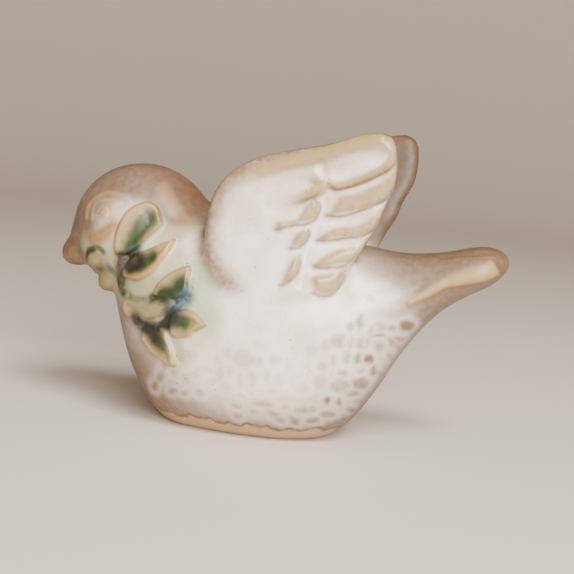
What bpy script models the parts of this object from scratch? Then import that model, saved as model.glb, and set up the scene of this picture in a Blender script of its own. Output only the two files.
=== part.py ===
# A dove figurine in glazed stoneware, cast in one piece: a plump bird with raised wings,
# a flat foot, and an olive sprig that runs from its beak down its left side.
# Units are metres and +Z is up. The head looks along -X, the bird's left is -Y,
# and the origin is the middle of the foot.

from math import pi, radians

import bmesh
import bpy
import numpy as np
from mathutils import Matrix

# Driving sizes
LENGTH = 0.108  # beak tip to tail end
BODY_WIDTH = 0.0440  # across the flanks
HEAD_WIDTH = 0.0280  # across the cheeks
BEAK_WIDTH = 0.0108
TAIL_WIDTH = 0.0200
WING_SPREAD = 0.0385  # from the middle of one wing tip to the middle of the other
WING_THICKNESS = 0.0066  # at the shoulder
WING_TIP_SHARE = 0.70  # thickness at the tip, as a share of the shoulder's
WING_EDGE_RADIUS = 0.0024
FEATHER_RELIEF = 0.0013
LEAF_RELIEF = 0.0013
STEM_RELIEF = 0.0009
FACE_RELIEF = 0.0005
TAIL_RELIEF = 0.0006
BERRY_RADIUS = 0.0023
FOOT_ROLL = 0.0015  # the belly rolls into the flat foot over this height
GLAZE_FILLET = 0.0016  # how far the glaze softens every corner
WING_ROOT_FILLET = 0.0032  # the same where a wing leaves the flank
NAPE_FILLET = 0.0040  # the same where the head meets the back
BEAK_FILLET = 0.0022  # the same where the beak leaves the face
BERRY_FILLET = 0.0008  # the same where a berry meets the throat
RELIEF_SOFTNESS = 0.0007  # the same for the carving

# Fineness of the surface
CLAY_GRAIN = 0.0008  # spacing of the surface before it is faceted
FACETS = 9200
RING_COUNT = 90
RING_CORNERS = 72
WING_EDGE_STEPS = 4
BALL_SEGMENTS = 48
BALL_RINGS = 32

# The figure's free form is drawn in millimetres of a dove 108 mm long
DRAWN_LENGTH = 108.0
MM = LENGTH / DRAWN_LENGTH

# Side view of the body and tail: place along the bird, height
BACK_LINE = (
    (-35, 37), (-28, 45.6), (-20, 51.8), (-13, 52.6), (0, 50.5), (14, 48.5),
    (27, 46.5), (35, 45.8), (44, 46.9), (52, 49.0), (60, 49.9),
)
BELLY_LINE = (
    (-35, 29.5), (-31.6, 21.0), (-28.2, 12.8), (-24.4, 6.0), (-20.4, 1.2), (-15, -2.2),
    (-6, -3.5), (4, -3.7), (13, -2.8), (19.2, -0.6), (25, 3.4), (31, 11.6),
    (36.4, 21.6), (43, 31.0), (51, 37.5), (60, 41.8),
)
WIDEST_LINE = (
    (-35, 30), (-22, 29.5), (-10, 25.5), (2, 23.5), (15, 24.5),
    (27, 29), (38, 36.5), (48, 42), (60, 46),
)
# Plan view: half width as a share of the flanks', then of the tail's
FLANK_PLAN = (
    (-35, 0.42), (-29, 0.58), (-22, 0.76), (-13, 0.92), (-2, 1.0),
    (10, 0.985), (19, 0.89), (28, 0.73), (36, 0.57),
)
TAIL_PLAN = ((44, 1.05), (52, 1.0), (60, 0.92))
BREAST_END = -34.3
TAIL_END = 59.6
BREAST_ROUND = 8.0
TAIL_ROUND = 6.5
UPPER_FULLNESS = 2.1
LOWER_FULLNESS = 2.1

# The head, the face below the forehead and the beak are egg-shaped: centre and radii
# in side view, and half width as a share of the head's or the beak's
HEAD_CENTRE = (-28.7, 45.0)
HEAD_RADII = (17.3, 15.7)
FACE_CENTRE = (-38.4, 43.0)
FACE_RADII = (8.4, 7.0)
FACE_WIDTH_SHARE = 0.62
BEAK_CENTRE = (-42.6, 39.4)
BEAK_RADII = (7.4, 4.4)
BEAK_DROOP = radians(32)
# Where the beak runs into the face: from, full, full, to
BEAK_BAND = (-50, -48.5, -42, -37)
BEAK_HEIGHTS = (33, 37)
# Where the nape runs into the back: from, full, full, to
NAPE_BAND = (-26, -20, -12, -6)
NAPE_HEIGHTS = (34, 39)

# Side view of a wing, from the foot of its front edge round the tip and back
WING_OUTLINE = (
    (-1.8, 32.8), (-6.4, 38.1), (-8.6, 44.8), (-8.5, 51.5), (-5.7, 58.9), (1.2, 64.6), (9.3, 67.4),
    (19.2, 69.9), (27.5, 72.8), (32.3, 72.5), (34.0, 68.2), (33.9, 62.0), (31.7, 56.8), (30.8, 53.2),
    (28.5, 48.8), (27.2, 45.4), (24.9, 43.0), (22.9, 38.1), (18.9, 34.0), (12.5, 30.5), (4.8, 29.9),
)
# How far out a wing's middle stands: height, share of half the spread
WING_STANCE = ((27, 0.84), (33, 0.93), (40, 0.92), (49, 0.88), (61, 0.93), (73, 1.0))
WING_TOE_IN = 0.2  # how far in, as such a share, the trailing edge stands below the tip
TOE_IN_BAND = (0, 32)  # from no toe-in to all of it, along the bird
TOE_IN_HEIGHTS = (52, 70)  # from all of it to none
WING_INSIDE = 0.58  # the feathers are carved on what stands further out than this share
WING_INSIDE_FADE = 0.15
INNER_SHARE = 0.7  # relief of a wing's inner face, as a share of the outer's
# Heights between which a wing leaves the flank: from, full, full, to
WING_ROOT_BAND = (32, 37, 47, 53)

# Feathers of a wing: root, tip, radius at the root, radius at the tip
FEATHERS = (
    ((21.9, 56.6), (31.8, 61.9), 1.9, 2.4),
    ((19.0, 48.6), (30.1, 54.2), 0.7, 2.0),
    ((18.6, 42.7), (27.5, 47.6), 0.8, 1.7),
    ((19.9, 38.5), (24.2, 42.2), 2.1, 0.9),
    ((13.4, 53.1), (16.0, 55.5), 1.0, 1.5),
    ((12.7, 47.0), (14.7, 48.8), 1.1, 1.2),
    ((11.4, 40.1), (13.4, 42.9), 1.2, 0.9),
)
FEATHER_EDGE = 1.3
# The first feather and the first covert are hollows within a raised rim
HOLLOWS = (((20.2, 63.5), (30.2, 68.0), 2.0, 2.1), ((4.3, 58.7), (14.1, 60.1), 2.6, 1.9))
HOLLOW_EDGE = 2.2
HOLLOW_SHARE = 0.7
# Grooves below the feathers, and the valley beside the coverts
GROOVES = (
    ((19.0, 59.1), (25.6, 61.5), (34.6, 66.2)),
    ((19.2, 52.4), (25.2, 53.8), (32.9, 58.4)),
    ((17.8, 46.2), (24.2, 47.8), (30.5, 51.2)),
    ((17.2, 40.8), (21.8, 41.5), (26.5, 44.0)),
    ((18.0, 64.0), (18.5, 58.0), (17.4, 50.6), (16.1, 45.0), (15.1, 39.5)),
    ((4.8, 54.5), (10.6, 54.7), (15.8, 57.5)),
)
GROOVE_HALF_WIDTH = 1.3
GROOVE_SHARE = 0.7

# Leaves of the sprig: base, tip, half width, sideways bow of the midrib
LEAVES = (
    ((-29.6, 39.6), (-22.0, 51.9), 3.5, 0.5),
    ((-28.8, 36.4), (-16.2, 43.7), 2.3, -1.3),
    ((-16.8, 29.4), (-11.8, 38.6), 2.7, 0.9),
    ((-15.5, 29.3), (-27.0, 27.8), 2.3, 0.0),
    ((-16.8, 24.2), (-6.6, 25.5), 3.2, 0.0),
    ((-20.1, 23.8), (-13.6, 15.4), 2.5, -1.2),
)
LEAF_TAPER = 0.7  # 1 draws a lens, less a fuller blade
LEAF_EDGE = 1.0
VEIN_HALF_WIDTH = 0.9
VEIN_SHARE = 0.55
VEIN_END = 0.75  # share of the leaf's length at which the vein starts to run out
STEMS = (
    ((-29.3, 39.2), (-29.6, 35.5), (-29.1, 31.6), (-27.5, 29.2), (-24.1, 24.7), (-18.6, 23.6)),
    ((-14.2, 30.3), (-15.5, 27.6), (-18.3, 23.7), (-19.2, 22.0)),
)
STEM_HALF_WIDTH = 0.9
# Two berries at the throat and the stalk's end at the beak: along, out as a share
# of half the head's width, height, and radius as a share of the berry's
BERRIES = ((-37.0, 0.68, 37.1, 0.95), (-34.4, 0.51, 32.0, 1.05), (-43.3, 0.207, 37.2, 0.8))

EYE = (-35.0, 48.4)
EYE_RADIUS = 1.0
FACE_LINES = (
    ((-38.5, 46.9), (-38.3, 48.9), (-37.2, 50.1), (-35.5, 50.6), (-33.5, 50.7)),
    ((-39.6, 50.1), (-38.0, 51.9), (-35.5, 52.7), (-32.7, 52.6), (-30.3, 51.6)),
    ((-32.5, 46.1), (-34.4, 43.7), (-37.4, 42.4)),
    ((-20.5, 55.5), (-18.5, 51.7), (-15.3, 49.3), (-12.7, 47.5), (-14.3, 45.9)),
)
FACE_LINE_HALF_WIDTH = 0.8
TAIL_LINES = (
    ((37.5, 35.8), (45.0, 40.7), (52.5, 43.8), (57.5, 46.0)),
    ((45.5, 46.7), (51.5, 48.1), (57.5, 48.2)),
)
TAIL_LINE_HALF_WIDTH = 1.5

# The relief fades where the surface turns away from the side view
FACING_FROM = 0.3
FACING_FULL = 0.75

OBJECT_NAME = "dove"
COLLECTION_NAME = "dove_statue"
GLAZE_COLOUR = (0.70, 0.66, 0.61, 1.0)
GLAZE_ROUGHNESS = 0.3
# Ahead of this place and above this height the surface is made finer for the carving
FINE_FRONT = -4
FINE_ABOVE = 13
FOOT_SNAP = 0.00002  # points nearer to the ground than this lie on it


def clear_scene():
    for thing in list(bpy.data.objects):
        bpy.data.objects.remove(thing, do_unlink=True)


def smooth_line(points, places):
    # Height of a smooth line through the drawn points, at each place
    x, y = np.array(points, dtype=float).T
    slopes = np.gradient(y, x)
    i = np.clip(np.searchsorted(x, places) - 1, 0, len(x) - 2)
    span = x[i + 1] - x[i]
    t = np.clip((places - x[i]) / span, 0, 1)
    straight = y[i] + (y[i + 1] - y[i]) * t * t * (3 - 2 * t)
    return straight + span * t * (1 - t) * (slopes[i] * (1 - t) - slopes[i + 1] * t)


def smooth_step(low, high, value):
    t = np.clip((value - low) / (high - low), 0, 1)
    return t * t * (3 - 2 * t)


def round_end(distance, radius):
    # Share of the full section at a distance from a rounded end
    t = np.clip(distance / radius, 0, 1)
    return np.sqrt(1 - (1 - t) ** 2)


def body_half_width(x):
    flank = [(place, share * BODY_WIDTH / 2) for place, share in FLANK_PLAN]
    tail = [(place, share * TAIL_WIDTH / 2) for place, share in TAIL_PLAN]
    return smooth_line(flank + tail, x)


def body_ring(x, turns):
    # An egg-shaped section, widest at the drawn height and boxier below it
    end = round_end(x - BREAST_END, BREAST_ROUND) * round_end(TAIL_END - x, TAIL_ROUND)
    widest = smooth_line(WIDEST_LINE, x)
    back = (smooth_line(BACK_LINE, x) - widest) * end
    belly = (widest - smooth_line(BELLY_LINE, x)) * end
    half_width = body_half_width(x) * end
    ring = []
    for turn in turns:
        up = np.sin(turn)
        side = np.cos(turn)
        power = 2 / (UPPER_FULLNESS if up > 0 else LOWER_FULLNESS)
        height = np.sign(up) * abs(up) ** power * (back if up > 0 else belly)
        width = np.sign(side) * abs(side) ** power * half_width
        ring.append((x * MM, width, (widest + height) * MM))
    return ring


def make_body():
    # A skin over the rings, closed by a point at the breast and at the tail
    turns = [2 * pi * (i + 0.5) / RING_CORNERS for i in range(RING_CORNERS)]
    spread = (1 - np.cos(pi * np.arange(1, RING_COUNT) / RING_COUNT)) / 2
    places = BREAST_END + (TAIL_END - BREAST_END) * spread
    skin = bmesh.new()
    rows = [[skin.verts.new(point) for point in body_ring(x, turns)] for x in places]
    for row, following in zip(rows, rows[1:]):
        for i in range(RING_CORNERS):
            j = (i + 1) % RING_CORNERS
            skin.faces.new((row[i], row[j], following[j], following[i]))
    for row, end in ((rows[0], BREAST_END), (rows[-1], TAIL_END)):
        point = skin.verts.new((end * MM, 0, smooth_line(WIDEST_LINE, end) * MM))
        for i in range(RING_CORNERS):
            skin.faces.new((row[i], row[(i + 1) % RING_CORNERS], point))
    bmesh.ops.recalc_face_normals(skin, faces=skin.faces)
    return new_object("body", skin)


def make_ball(name, centre, radii, pitch=0.0):
    ball = bmesh.new()
    bmesh.ops.create_uvsphere(ball, u_segments=BALL_SEGMENTS, v_segments=BALL_RINGS, radius=1.0)
    place = Matrix.Translation(centre) @ Matrix.Rotation(pitch, 4, "Y") @ Matrix.Diagonal((*radii, 1))
    bmesh.ops.transform(ball, matrix=place, verts=ball.verts)
    return new_object(name, ball)


def new_object(name, shape):
    mesh = bpy.data.meshes.new(name)
    shape.to_mesh(mesh)
    shape.free()
    thing = bpy.data.objects.new(name, mesh)
    bpy.context.scene.collection.objects.link(thing)
    return thing


def apply_modifiers(thing):
    # The object keeps its modified mesh and loses the modifiers
    bpy.context.view_layer.update()
    seen = thing.evaluated_get(bpy.context.evaluated_depsgraph_get())
    mesh = bpy.data.meshes.new_from_object(seen)
    thing.modifiers.clear()
    thing.data = mesh


def remesh(thing, spacing):
    modifier = thing.modifiers.new("Clay", "REMESH")
    modifier.mode = "VOXEL"
    modifier.voxel_size = spacing
    apply_modifiers(thing)


def smooth(thing, reach, group=""):
    # Each pass moves the surface by about half its spacing, so passes go with the square
    modifier = thing.modifiers.new("Glaze", "SMOOTH")
    modifier.factor = 0.5
    modifier.iterations = max(1, round((reach / CLAY_GRAIN) ** 2))
    modifier.vertex_group = group
    apply_modifiers(thing)


def get_points(mesh):
    points = np.empty(len(mesh.vertices) * 3)
    mesh.vertices.foreach_get("co", points)
    return points.reshape(-1, 3)


def get_normals(mesh):
    normals = np.empty(len(mesh.vertices) * 3)
    mesh.vertices.foreach_get("normal", normals)
    return normals.reshape(-1, 3)


def set_points(mesh, points):
    mesh.vertices.foreach_set("co", points.ravel())
    mesh.update()


def wing_middle(x, z):
    toe_in = WING_TOE_IN * smooth_step(*TOE_IN_BAND, x) * smooth_step(*TOE_IN_HEIGHTS[::-1], z)
    return (smooth_line(WING_STANCE, z) - toe_in) * WING_SPREAD / 2


def make_wing(side):
    # A flat slab with rounded edges, then thinned towards its tip and bent to its stance
    curve = bpy.data.curves.new("wing", "CURVE")
    curve.dimensions = "2D"
    curve.fill_mode = "BOTH"
    curve.extrude = WING_THICKNESS / 2 - WING_EDGE_RADIUS
    curve.bevel_depth = WING_EDGE_RADIUS
    curve.offset = -WING_EDGE_RADIUS
    curve.bevel_resolution = WING_EDGE_STEPS
    outline = curve.splines.new("BEZIER")
    outline.bezier_points.add(len(WING_OUTLINE) - 1)
    outline.use_cyclic_u = True
    for point, (x, z) in zip(outline.bezier_points, WING_OUTLINE):
        point.co = (x * MM, z * MM, 0)
        point.handle_left_type = "AUTO"
        point.handle_right_type = "AUTO"
    flat = bpy.data.objects.new("wing", curve)
    bpy.context.scene.collection.objects.link(flat)
    bpy.context.view_layer.update()
    seen = flat.evaluated_get(bpy.context.evaluated_depsgraph_get())
    wing = bpy.data.objects.new("wing", bpy.data.meshes.new_from_object(seen))
    bpy.context.scene.collection.objects.link(wing)
    bpy.data.objects.remove(flat)
    remesh(wing, CLAY_GRAIN)
    x, z, depth = get_points(wing.data).T
    low, high = WING_STANCE[0][0] * MM, WING_STANCE[-1][0] * MM
    thin = 1 - (1 - WING_TIP_SHARE) * smooth_step(low, high, z)
    y = side * wing_middle(x / MM, z / MM) + depth * thin
    set_points(wing.data, np.stack((x, y, z), axis=1))
    wing.data.flip_normals()
    return wing


def join(things):
    whole = bmesh.new()
    for thing in things:
        whole.from_mesh(thing.data)
        bpy.data.objects.remove(thing)
    return new_object(OBJECT_NAME, whole)


def line_distance(x, z, points):
    # Distance to a line through drawn points, in drawn millimetres
    nearest = np.full(x.shape, np.inf)
    for (ax, az), (bx, bz) in zip(points, points[1:]):
        dx, dz = bx - ax, bz - az
        t = np.clip(((x - ax) * dx + (z - az) * dz) / (dx * dx + dz * dz), 0, 1)
        nearest = np.minimum(nearest, np.hypot(x - ax - t * dx, z - az - t * dz))
    return nearest


def stroke(x, z, points, half_width):
    # A rounded ridge along a line, 1 on the line and 0 at its edge
    return smooth_step(0, half_width, half_width - line_distance(x, z, points))


def pad(x, z, root, tip, root_radius, tip_radius, edge):
    # A long drop-shaped pad, 1 inside and 0 at its rim
    dx, dz = tip[0] - root[0], tip[1] - root[1]
    t = np.clip(((x - root[0]) * dx + (z - root[1]) * dz) / (dx * dx + dz * dz), 0, 1)
    distance = np.hypot(x - root[0] - t * dx, z - root[1] - t * dz)
    return smooth_step(0, edge, root_radius + (tip_radius - root_radius) * t - distance)


def leaf(x, z, base, tip, half_width, bow):
    # A pointed leaf with a vein pressed into its middle
    length = np.hypot(tip[0] - base[0], tip[1] - base[1])
    ux, uz = (tip[0] - base[0]) / length, (tip[1] - base[1]) / length
    along = ((x - base[0]) * ux + (z - base[1]) * uz) / length
    t = np.clip(along, 0, 1)
    across = (z - base[1]) * ux - (x - base[0]) * uz - bow * 4 * t * (1 - t)
    inside = half_width * np.sin(pi * t) ** LEAF_TAPER - abs(across)
    inside = np.where((along > 0) & (along < 1), inside, -1)
    vein = smooth_step(VEIN_HALF_WIDTH, 0, abs(across)) * smooth_step(1, VEIN_END, t)
    return smooth_step(0, LEAF_EDGE, inside) * (1 - VEIN_SHARE * vein)


def wing_relief(x, z):
    height = np.zeros(x.shape)
    for feather in FEATHERS:
        height = np.maximum(height, pad(x, z, *feather, FEATHER_EDGE))
    for hollow in HOLLOWS:
        height -= HOLLOW_SHARE * pad(x, z, *hollow, HOLLOW_EDGE)
    groove = np.zeros(x.shape)
    for line in GROOVES:
        groove = np.maximum(groove, stroke(x, z, line, GROOVE_HALF_WIDTH))
    return FEATHER_RELIEF * (height - GROOVE_SHARE * groove)


def sprig_relief(x, z):
    height = np.zeros(x.shape)
    for blade in LEAVES:
        height = np.maximum(height, LEAF_RELIEF * leaf(x, z, *blade))
    for stem in STEMS:
        height = np.maximum(height, STEM_RELIEF * stroke(x, z, stem, STEM_HALF_WIDTH))
    return height


def marks_relief(x, z):
    # Eye, brow, cheek, nape and tail lines, alike on both sides
    height = FACE_RELIEF * smooth_step(EYE_RADIUS, 0, np.hypot(x - EYE[0], z - EYE[1]))
    for line in FACE_LINES:
        height = np.maximum(height, FACE_RELIEF * stroke(x, z, line, FACE_LINE_HALF_WIDTH))
    for line in TAIL_LINES:
        height = np.maximum(height, TAIL_RELIEF * stroke(x, z, line, TAIL_LINE_HALF_WIDTH))
    return height


def on_wing(points):
    # 1 on the wings, 0 between them and below them
    y, z = points.T[1:]
    out = abs(y) / (WING_SPREAD / 2)
    above = smooth_step(WING_ROOT_BAND[0], WING_ROOT_BAND[1], z / MM)
    return smooth_step(WING_INSIDE, WING_INSIDE + WING_INSIDE_FADE, out) * above


def refine(thing):
    # Halves the spacing where there is fine carving: wings, sprig and face
    points = get_points(thing.data)
    x, y, z = points.T / MM
    front = (x < FINE_FRONT) & (z > FINE_ABOVE)
    sideways = abs(get_normals(thing.data)[:, 1]) > FACING_FROM
    fine = ((on_wing(points) > 0) | front) & sideways
    shape = bmesh.new()
    shape.from_mesh(thing.data)
    edges = [edge for edge in shape.edges if all(fine[vert.index] for vert in edge.verts)]
    bmesh.ops.subdivide_edges(shape, edges=edges, cuts=1, use_grid_fill=True)
    bmesh.ops.triangulate(shape, faces=shape.faces)
    shape.to_mesh(thing.data)
    shape.free()


def carve(mesh):
    # The relief is drawn in side view and stands along the surface's normal
    points = get_points(mesh)
    normals = get_normals(mesh)
    x, y, z = points.T / MM
    outward = normals[:, 1] * np.sign(y)
    facing = smooth_step(FACING_FROM, FACING_FULL, outward)
    inner = INNER_SHARE * smooth_step(FACING_FROM, FACING_FULL, -outward)
    height = wing_relief(x, z) * on_wing(points) * (facing + inner)
    height += sprig_relief(x, z) * facing * (y < 0)
    height += marks_relief(x, z) * facing
    set_points(mesh, points + normals * height[:, None])


def flatten_foot(mesh):
    # Heights below the ground become the flat foot, with a soft roll around it
    points = get_points(mesh)
    z = points[:, 2]
    rolled = (z + FOOT_ROLL) ** 2 / (4 * FOOT_ROLL)
    points[:, 2] = np.where(z < -FOOT_ROLL, 0, np.where(z < FOOT_ROLL, rolled, z))
    set_points(mesh, points)


def band(edges, values):
    # 1 between the two middle edges, fading to 0 at the outer ones
    start, full, still_full, stop = edges
    return smooth_step(start, full, values) * smooth_step(stop, still_full, values)


def soften(thing, reach, weights):
    # Smooths again where the weights are above 0
    group = thing.vertex_groups.new(name="soft")
    for i in np.flatnonzero(weights).tolist():
        group.add([i], weights[i], "REPLACE")
    smooth(thing, reach, group.name)
    thing.vertex_groups.clear()


def soften_wing_roots(thing):
    y, z = get_points(thing.data).T[1:]
    outer = smooth_step(WING_INSIDE - WING_INSIDE_FADE, WING_INSIDE, abs(y) / (WING_SPREAD / 2))
    soften(thing, WING_ROOT_FILLET, outer * band(WING_ROOT_BAND, z / MM))


def soften_nape(thing):
    x, y, z = get_points(thing.data).T / MM
    soften(thing, NAPE_FILLET, band(NAPE_BAND, x) * smooth_step(*NAPE_HEIGHTS, z))


def soften_beak(thing):
    x, y, z = get_points(thing.data).T / MM
    soften(thing, BEAK_FILLET, band(BEAK_BAND, x) * smooth_step(*BEAK_HEIGHTS, z))


def facet(thing):
    # Fewer, larger triangles, kept small where the carving bends
    thing.data.calc_loop_triangles()
    modifier = thing.modifiers.new("Facets", "DECIMATE")
    modifier.ratio = FACETS / len(thing.data.loop_triangles)
    apply_modifiers(thing)
    points = get_points(thing.data)
    points[abs(points[:, 2]) < FOOT_SNAP, 2] = 0
    set_points(thing.data, points)


def glaze_material():
    material = bpy.data.materials.new("glazed_stoneware")
    material.use_nodes = True
    shader = material.node_tree.nodes["Principled BSDF"]
    shader.inputs["Base Color"].default_value = GLAZE_COLOUR
    shader.inputs["Roughness"].default_value = GLAZE_ROUGHNESS
    shader.inputs["Metallic"].default_value = 0.0
    return material


def make_egg(name, centre, radii, half_width, droop=0.0):
    middle = (centre[0] * MM, 0, centre[1] * MM)
    return make_ball(name, middle, (radii[0] * MM, half_width, radii[1] * MM), -droop)


def make_dove():
    dove = join(
        [
            make_body(),
            make_egg("head", HEAD_CENTRE, HEAD_RADII, HEAD_WIDTH / 2),
            make_egg("face", FACE_CENTRE, FACE_RADII, FACE_WIDTH_SHARE * HEAD_WIDTH / 2),
            make_egg("beak", BEAK_CENTRE, BEAK_RADII, BEAK_WIDTH / 2, BEAK_DROOP),
            make_wing(-1),
            make_wing(1),
        ]
    )
    remesh(dove, CLAY_GRAIN)
    smooth(dove, GLAZE_FILLET)
    soften_wing_roots(dove)
    soften_nape(dove)
    soften_beak(dove)
    return dove


def add_berries(dove):
    balls = [dove]
    for x, out, z, share in BERRIES:
        radius = BERRY_RADIUS * share
        balls.append(make_ball("berry", (x * MM, -out * HEAD_WIDTH / 2, z * MM), (radius,) * 3))
    dove = join(balls)
    remesh(dove, CLAY_GRAIN)
    smooth(dove, BERRY_FILLET)
    return dove


def main():
    clear_scene()
    dove = add_berries(make_dove())
    refine(dove)
    carve(dove.data)
    smooth(dove, RELIEF_SOFTNESS)
    flatten_foot(dove.data)
    facet(dove)
    dove.name = OBJECT_NAME
    dove.data.name = OBJECT_NAME
    dove.data.materials.clear()
    dove.data.materials.append(glaze_material())
    dove.data.shade_smooth()
    collection = bpy.data.collections.new(COLLECTION_NAME)
    bpy.context.scene.collection.children.link(collection)
    bpy.context.scene.collection.objects.unlink(dove)
    collection.objects.link(dove)


main()
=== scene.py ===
from functools import partial
from math import cos, radians, sin

import bmesh
import bpy
import numpy as np
from mathutils import Matrix, Vector


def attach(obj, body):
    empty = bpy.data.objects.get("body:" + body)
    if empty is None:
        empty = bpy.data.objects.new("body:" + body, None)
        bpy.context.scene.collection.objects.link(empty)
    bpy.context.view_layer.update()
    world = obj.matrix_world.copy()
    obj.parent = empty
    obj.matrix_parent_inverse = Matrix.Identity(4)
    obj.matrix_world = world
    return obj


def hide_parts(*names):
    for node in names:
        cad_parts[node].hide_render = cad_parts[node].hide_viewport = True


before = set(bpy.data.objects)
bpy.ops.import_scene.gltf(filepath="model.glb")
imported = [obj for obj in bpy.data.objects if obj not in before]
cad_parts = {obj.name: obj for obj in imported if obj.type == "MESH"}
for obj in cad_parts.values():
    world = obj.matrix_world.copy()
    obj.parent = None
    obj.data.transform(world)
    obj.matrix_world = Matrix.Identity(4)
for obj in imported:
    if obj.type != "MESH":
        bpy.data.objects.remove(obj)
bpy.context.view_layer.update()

# A dove figurine in glazed stoneware, cast in one piece, on a pale studio floor.
# Drawn sizes are millimetres in side view (x along the bird, z up); mm turns them to metres.
mm = 0.001


# seen from the bird's left, a little from behind, tipped clockwise
view = {
    "azimuth": 12, "elevation": 6.5, "roll": 5.2, "distance": 0.338, "lens": 89,
    "target": (0.0079, 0, 0.03465),
}


def direction(azimuth, elevation):
    turn, tip = radians(azimuth), radians(elevation)
    return Vector((sin(turn) * cos(tip), -cos(turn) * cos(tip), sin(tip)))


def addObject(name, data):
    thing = bpy.data.objects.new(name, data)
    bpy.context.scene.collection.objects.link(thing)
    return thing


def makeCamera():
    turn, roll = radians(view["azimuth"]), radians(view["roll"])
    back = direction(view["azimuth"], view["elevation"])
    level = Vector((cos(turn), sin(turn), 0))
    upright = back.cross(level)
    right = level * cos(roll) + upright * sin(roll)
    up = upright * cos(roll) - level * sin(roll)
    data = bpy.data.cameras.new("camera")
    data.lens = view["lens"]
    data.sensor_width = 36
    data.clip_start = 0.01
    camera = addObject("camera", data)
    turned = Matrix((right, up, back)).transposed().to_4x4()
    camera.matrix_world = Matrix.Translation(Vector(view["target"]) + back * view["distance"]) @ turned
    bpy.context.scene.camera = camera


makeCamera()


def ease(low, high, value):
    t = np.clip((value - low) / (high - low), 0, 1)
    return t * t * (3 - 2 * t)


def bell(distance, width):
    return np.exp(-((distance / width) ** 2))


def smoothLine(points, places):
    # height of a smooth line through the drawn points, at each place
    x, y = np.array(points, dtype=float).T
    slopes = np.gradient(y, x)
    i = np.clip(np.searchsorted(x, places) - 1, 0, len(x) - 2)
    span = x[i + 1] - x[i]
    t = np.clip((places - x[i]) / span, 0, 1)
    straight = y[i] + (y[i + 1] - y[i]) * t * t * (3 - 2 * t)
    return straight + span * t * (1 - t) * (slopes[i] * (1 - t) - slopes[i + 1] * t)


def rounded(points, closed=False, steps=6):
    # a rounded path through a few drawn points
    p = np.array(points, dtype=float).reshape(-1, 2)
    if closed:
        p = np.vstack((p[-1:], p, p[:2]))
    else:
        p = np.vstack((2 * p[0] - p[1], p, 2 * p[-1] - p[-2]))
    t = (np.arange(steps) / steps)[:, None]
    path = []
    for a, b, c, d in zip(p, p[1:], p[2:], p[3:]):
        path.append(0.5 * (2 * b + (c - a) * t + (2 * a - 5 * b + 4 * c - d) * t**2
                           + (3 * b - a - 3 * c + d) * t**3))
    if not closed:
        path.append(p[-2:-1])
    return np.vstack(path)


def nearest(x, z, path, closed=False, reach=8):
    # distance to a path, which side of it (left is above 0), how far beyond its ends,
    # and how far along it, from 0 to 1
    if closed:
        path = np.vstack((path, path[:1]))
    found = np.zeros((4, len(x)))
    found[:2] = [[99], [-1]]
    low, high = path.min(axis=0) - reach, path.max(axis=0) + reach
    close = (x > low[0]) & (x < high[0]) & (z > low[1]) & (z < high[1])
    x, z = x[close], z[close]
    best = np.full(len(x), np.inf)
    side, beyond, share = np.zeros((3, len(x)))
    lengths = np.hypot(*np.diff(path, axis=0).T)
    done = 0
    for k, ((ax, az), (bx, bz), length) in enumerate(zip(path, path[1:], lengths)):
        dx, dz = bx - ax, bz - az
        along = ((x - ax) * dx + (z - az) * dz) / length
        t = np.clip(along / length, 0, 1)
        distance = np.hypot(x - ax - t * dx, z - az - t * dz)
        near = distance < best
        best = np.where(near, distance, best)
        side = np.where(near, np.sign((z - az) * dx - (x - ax) * dz), side)
        over = np.maximum(-along if k == 0 else 0, along - length if k == len(lengths) - 1 else 0)
        beyond = np.where(near, np.maximum(over, 0), beyond)
        share = np.where(near, (done + t * length) / lengths.sum(), share)
        done += length
    found[:, close] = best, side, beyond, share
    return found


def insideDepth(x, z, outline, steps=6):
    # depth inside a drawn outline, below 0 outside it
    path = rounded(outline, closed=True, steps=steps)
    distance = nearest(x, z, path, closed=True, reach=4)[0]
    inside = np.zeros(x.shape, dtype=bool)
    for (ax, az), (bx, bz) in zip(path, np.roll(path, -1, axis=0)):
        crosses = (az > z) != (bz > z)
        rise = bz - az if bz != az else 1e-9
        inside ^= crosses & (x < ax + (z - az) * (bx - ax) / rise)
    return np.where(inside, distance, -distance)


def stroke(x, z, path, outer, inner):
    # 1 within the inner distance of a drawn path, fading to 0 at the outer one
    return ease(outer, inner, nearest(x, z, rounded(path))[0])


def getPoints(mesh, what="co"):
    values = np.empty(len(mesh.vertices) * 3)
    mesh.vertices.foreach_get(what, values)
    return values.reshape(-1, 3)


def inMm(mesh):
    return getPoints(mesh).T / mm


def setPoints(mesh, points):
    mesh.vertices.foreach_set("co", points.ravel())
    mesh.update()


def newObject(name, shape):
    mesh = bpy.data.meshes.new(name)
    shape.to_mesh(mesh)
    shape.free()
    return addObject(name, mesh)


def skinRows(shape, rows):
    # faces between rows of points that each run all the way round
    for row, following in zip(rows, rows[1:]):
        for i in range(len(row)):
            j = (i + 1) % len(row)
            shape.faces.new((row[i], row[j], following[j], following[i]))


def evaluatedMesh(thing):
    bpy.context.view_layer.update()
    return bpy.data.meshes.new_from_object(thing.evaluated_get(bpy.context.evaluated_depsgraph_get()))


def bakeModifiers(thing):
    # the object keeps its modified mesh and loses the modifiers
    mesh = evaluatedMesh(thing)
    thing.modifiers.clear()
    thing.data = mesh


def remesh(thing, spacing):
    modifier = thing.modifiers.new("clay", "REMESH")
    modifier.mode = "VOXEL"
    modifier.voxel_size = spacing
    bakeModifiers(thing)


def smooth(thing, passes, weights=None):
    modifier = thing.modifiers.new("glaze", "SMOOTH")
    modifier.factor = 0.5
    modifier.iterations = max(1, round(passes))
    if weights is not None:
        group = thing.vertex_groups.new(name="soft")
        for i in np.flatnonzero(weights > 0).tolist():
            group.add([i], weights[i], "REPLACE")
        modifier.vertex_group = group.name
    bakeModifiers(thing)
    thing.vertex_groups.clear()


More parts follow.
